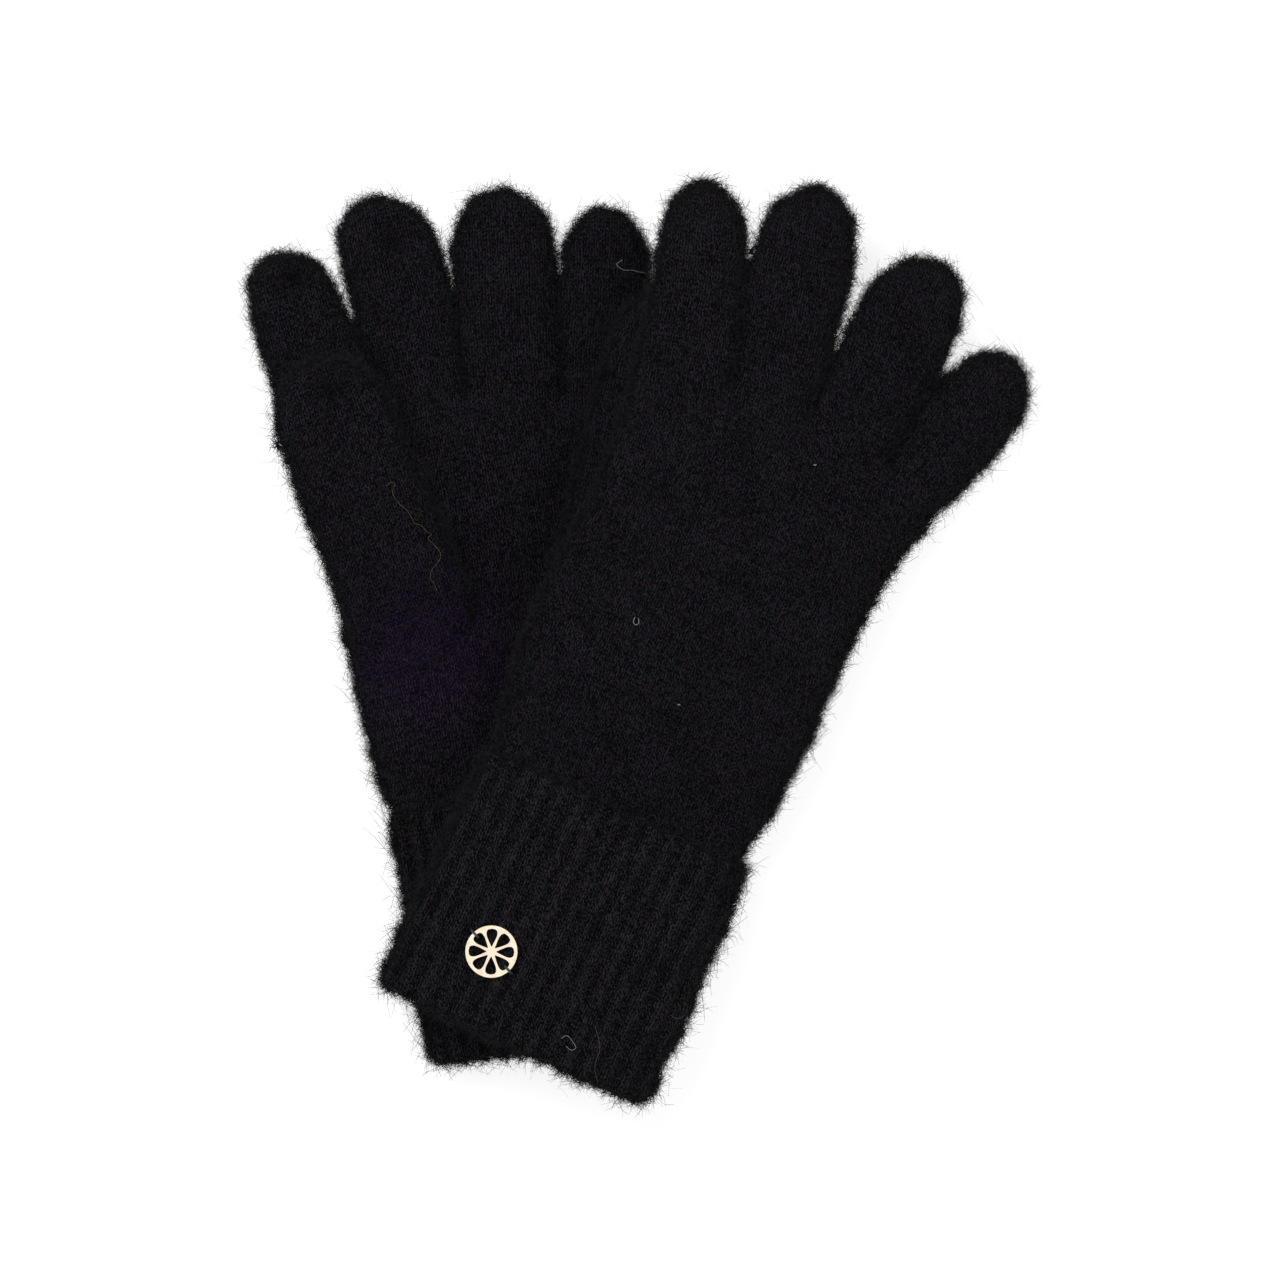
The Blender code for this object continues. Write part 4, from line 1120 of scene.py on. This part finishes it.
def lay_lint(name, motion, route, width, material):
    """A stray fibre as a thin ribbon on top of the knit, along a route in millimetres."""
    route = np.array(route, float) * MM
    marks = np.linspace(0.0, len(route) - 1.0, 10 * (len(route) - 1) + 1)
    flat = np.stack([np.interp(marks, range(len(route)), route[:, k]) for k in (0, 1)], axis=1)
    for _ in range(22):
        flat[1:-1] = 0.25 * flat[:-2] + 0.5 * flat[1:-1] + 0.25 * flat[2:]
    heights = []
    for x, y in flat:
        hits = [ray_height(tree, x, y, ABOVE_ALL, -1) for tree in KNIT_TREES]
        heights.append(max([hit for hit in hits if hit is not None], default=0.0))
    heights = np.array(heights)
    for _ in range(4):
        heights[1:-1] = np.maximum(heights[1:-1], 0.5 * (heights[:-2] + heights[2:]))
    heading = unit(np.gradient(flat, axis=0))
    square = np.stack([heading[:, 1], -heading[:, 0]], axis=1) * 0.5 * width
    top = heights + LINT_LIFT
    rows = []
    for k, lift in ((-1.0, 0.0), (0.0, 0.6 * width), (1.0, 0.0)):
        rows.append(np.column_stack([flat + square * k, top + lift]))
    points = np.stack(rows, axis=1).reshape(-1, 3)
    base = 3 * np.arange(len(flat) - 1)[:, None]
    quads = [base + np.array([[k, k + 1, k + 4, k + 3]]) for k in (0, 1)]
    piece = settle(make_mesh(name, points, np.concatenate(quads), material), motion)


def fray(name, body, count, seed):
    """Loose yarn ends that stand out of a knot."""
    points, faces = map(np.array, triangles_of(name))
    a, b, c = (points[faces[:, k]] for k in range(3))
    up = np.cross(b - a, c - a)
    area = np.linalg.norm(up, axis=1)
    rng = np.random.default_rng(seed)
    still = (0.0, 0.0, 0.0)
    ends, quads = strew(rng, (a, b, c, c), unit(up), area, count, YARN_END, still, 0.3)
    piece = make_mesh(name + "_ends", ends, quads, FIBRE)
    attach(piece, body)


def restyle(material, *names):
    """Gives CAD nodes their finished surface."""
    for name in names:
        NODES[name].data.materials.clear()
        NODES[name].data.materials.append(material)


def round_edges(name, width):
    """Rounds a CAD node's sharp edges."""
    soft = NODES[name].modifiers.new("edge", "BEVEL")
    soft.width = width
    soft.segments = 2
    soft.limit_method = "ANGLE"
    soft.angle_limit = math.radians(40.0)


for hand in ("left", "right"):
    build_hand(hand)
    THUMB_MOTION[hand] = build_thumb(hand)
    build_cuff(hand)
PALE = lint_material("lint_pale", (0.20, 0.20, 0.19))
STRAW = lint_material("lint_straw", (0.062, 0.050, 0.024))
STRAY = {
    "pale_curl": ("right_glove", PALE, 0.14, (
        (-0.7, 6.2), (-1.3, 4.9), (-0.5, 4.0), (0.5, 4.6), (0.2, 6.0))),
    "pale_speck": ("right_glove", PALE, 0.2, ((10.7, -17.2), (11.2, -17.0), (11.4, -17.4))),
    "cuff_curl": ("right_glove", PALE, 0.1, (
        (-20.4, -106.6), (-18.9, -105.4), (-17.2, -107.6), (-16.2, -109.2), (-17.8, -109.9),
        (-19.2, -108.6))),
    "cuff_hair": ("right_glove", STRAW, 0.1, (
        (-11.4, -103.2), (-10.4, -106.6), (-9.9, -109.6), (-11.2, -112.6), (-11.6, -115.2),
        (-10.6, -118.6))),
    "cuff_edge_curl": ("right_glove", STRAW, 0.1, (
        (8.8, -100.6), (11.2, -102.0), (13.2, -100.2), (13.6, -98.0), (12.2, -97.2))),
    "straw_hair": (THUMB_MOTION["left"], STRAW, 0.1, (
        (-67.5, 41.5), (-66.4, 42.7), (-64.8, 42.3), (-66.1, 40.3), (-65.4, 38.4), (-64.3, 36.8),
        (-61.8, 35.0), (-60.6, 32.6), (-59.8, 31.2), (-58.4, 31.3), (-56.8, 29.2), (-54.9, 28.6),
        (-56.9, 27.7), (-54.6, 25.6), (-52.7, 23.4), (-53.4, 21.2), (-55.2, 19.6), (-56.1, 16.9),
        (-54.7, 15.4), (-54.1, 13.3))),
    "tip_curl": ("left_glove", PALE, 0.11, (
        (-4.1, 102.9), (-5.9, 101.9), (-5.3, 101.2), (-3.8, 100.0), (-1.5, 100.3), (0.2, 99.7),
        (1.9, 99.7), (3.1, 98.5), (1.8, 97.4), (1.5, 96.4))),
    "pale_dot": ("right_glove", PALE, 0.22, ((47.3, 47.2), (47.7, 47.0), (48.0, 47.3))),
}
for label, (motion, look, width, route) in STRAY.items():
    lay_lint(label, motion, route, width * MM, look)
restyle(metal_material(), "badge")
round_edges("badge", 0.1 * MM)
restyle(thread_material(), "badge_stitch_1", "badge_stitch_2")
restyle(CONDUCTIVE, "left_thumb_yarn_knot", "right_index_yarn_knot")
fray("left_thumb_yarn_knot", "left_thumb_tube", 44, 91)
fray("right_index_yarn_knot", "right_index_finger", 30, 92)


# The floor, the light and the camera.


def background(n, output, plain, kind, share):
    """Shows a share of plain white to the camera and in reflections, and the shader elsewhere."""
    rays = n.add("LightPath").outputs
    seen = n.math("MAXIMUM", rays["Is Camera Ray"], rays["Is Glossy Ray"])
    seen = n.math("MAXIMUM", seen, rays["Is Transmission Ray"])
    white = n.add(kind)
    white.inputs[0].default_value = (1.0,) * 4
    white.inputs[1].default_value = 1.0
    mix = n.add("MixShader")
    parts = (n.math("MULTIPLY", seen, share), plain, white.outputs[0])
    for part, socket in zip(parts, mix.inputs):
        n.link(part, socket)
    n.link(mix.outputs[0], n.tree.nodes[output].inputs["Surface"])


def make_floor():
    """A pale floor under the gloves."""
    s = FLOOR_SIZE
    corners = np.array([(-s, -s, 0.0), (s, -s, 0.0), (s, s, 0.0), (-s, s, 0.0)])
    n = Material("floor_pale")
    tone = n.noise(n.place, 14.0, 2.0, 0.5)
    pale = n.ramp(tone, ((0.3, (0.93,) * 3), (0.7, (0.97,) * 3)))
    n.set(Base_Color=pale, Roughness=0.95, Specular_IOR_Level=0.0)
    background(n, "Material Output", n.shader.outputs[0], "Emission", FLOOR_WHITE)
    floor = make_mesh("floor", corners, np.array([[0, 1, 2, 3]]), n.material)
    floor.location.z = -FLOOR_DROP
    floor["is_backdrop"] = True


def make_sky():
    """White light from all round."""
    world = bpy.data.worlds.new("studio")
    bpy.context.scene.world = world
    n = Nodes(world)
    surround = n.tree.nodes["Background"]
    surround.inputs[0].default_value = (1.0,) * 4
    surround.inputs[1].default_value = SKY_LIGHT
    background(n, "World Output", surround.outputs[0], "Background", 1.0)


def make_light(name, place, size, power):
    """A soft square lamp that faces the gloves."""
    lamp = bpy.data.lights.new(name, "AREA")
    lamp.size = size
    lamp.energy = power
    made = bpy.data.objects.new(name, lamp)
    made.location = place
    made.rotation_euler = (-Vector(place)).to_track_quat("-Z", "Y").to_euler()
    bpy.context.scene.collection.objects.link(made)


make_floor()
make_sky()
for label, (spot, size, power) in LAMPS.items():
    make_light(label, spot, size, power)

lens = bpy.data.cameras.new("camera")
lens.sensor_width = 36.0
lens.lens = 36.0 * CAMERA_HEIGHT / VIEW_WIDTH
lens.clip_end = 10.0
camera = bpy.data.objects.new("camera", lens)
camera.location = (*VIEW_CENTRE, CAMERA_HEIGHT + 0.015)
bpy.context.scene.collection.objects.link(camera)
bpy.context.scene.camera = camera
bpy.context.scene.view_settings.view_transform = "Standard"

bpy.context.view_layer.update()
boxes = {"cad": CAD_BOX, "visual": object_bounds()}
{k: [list(map(float, c)) for c in v] for k, v in boxes.items()}
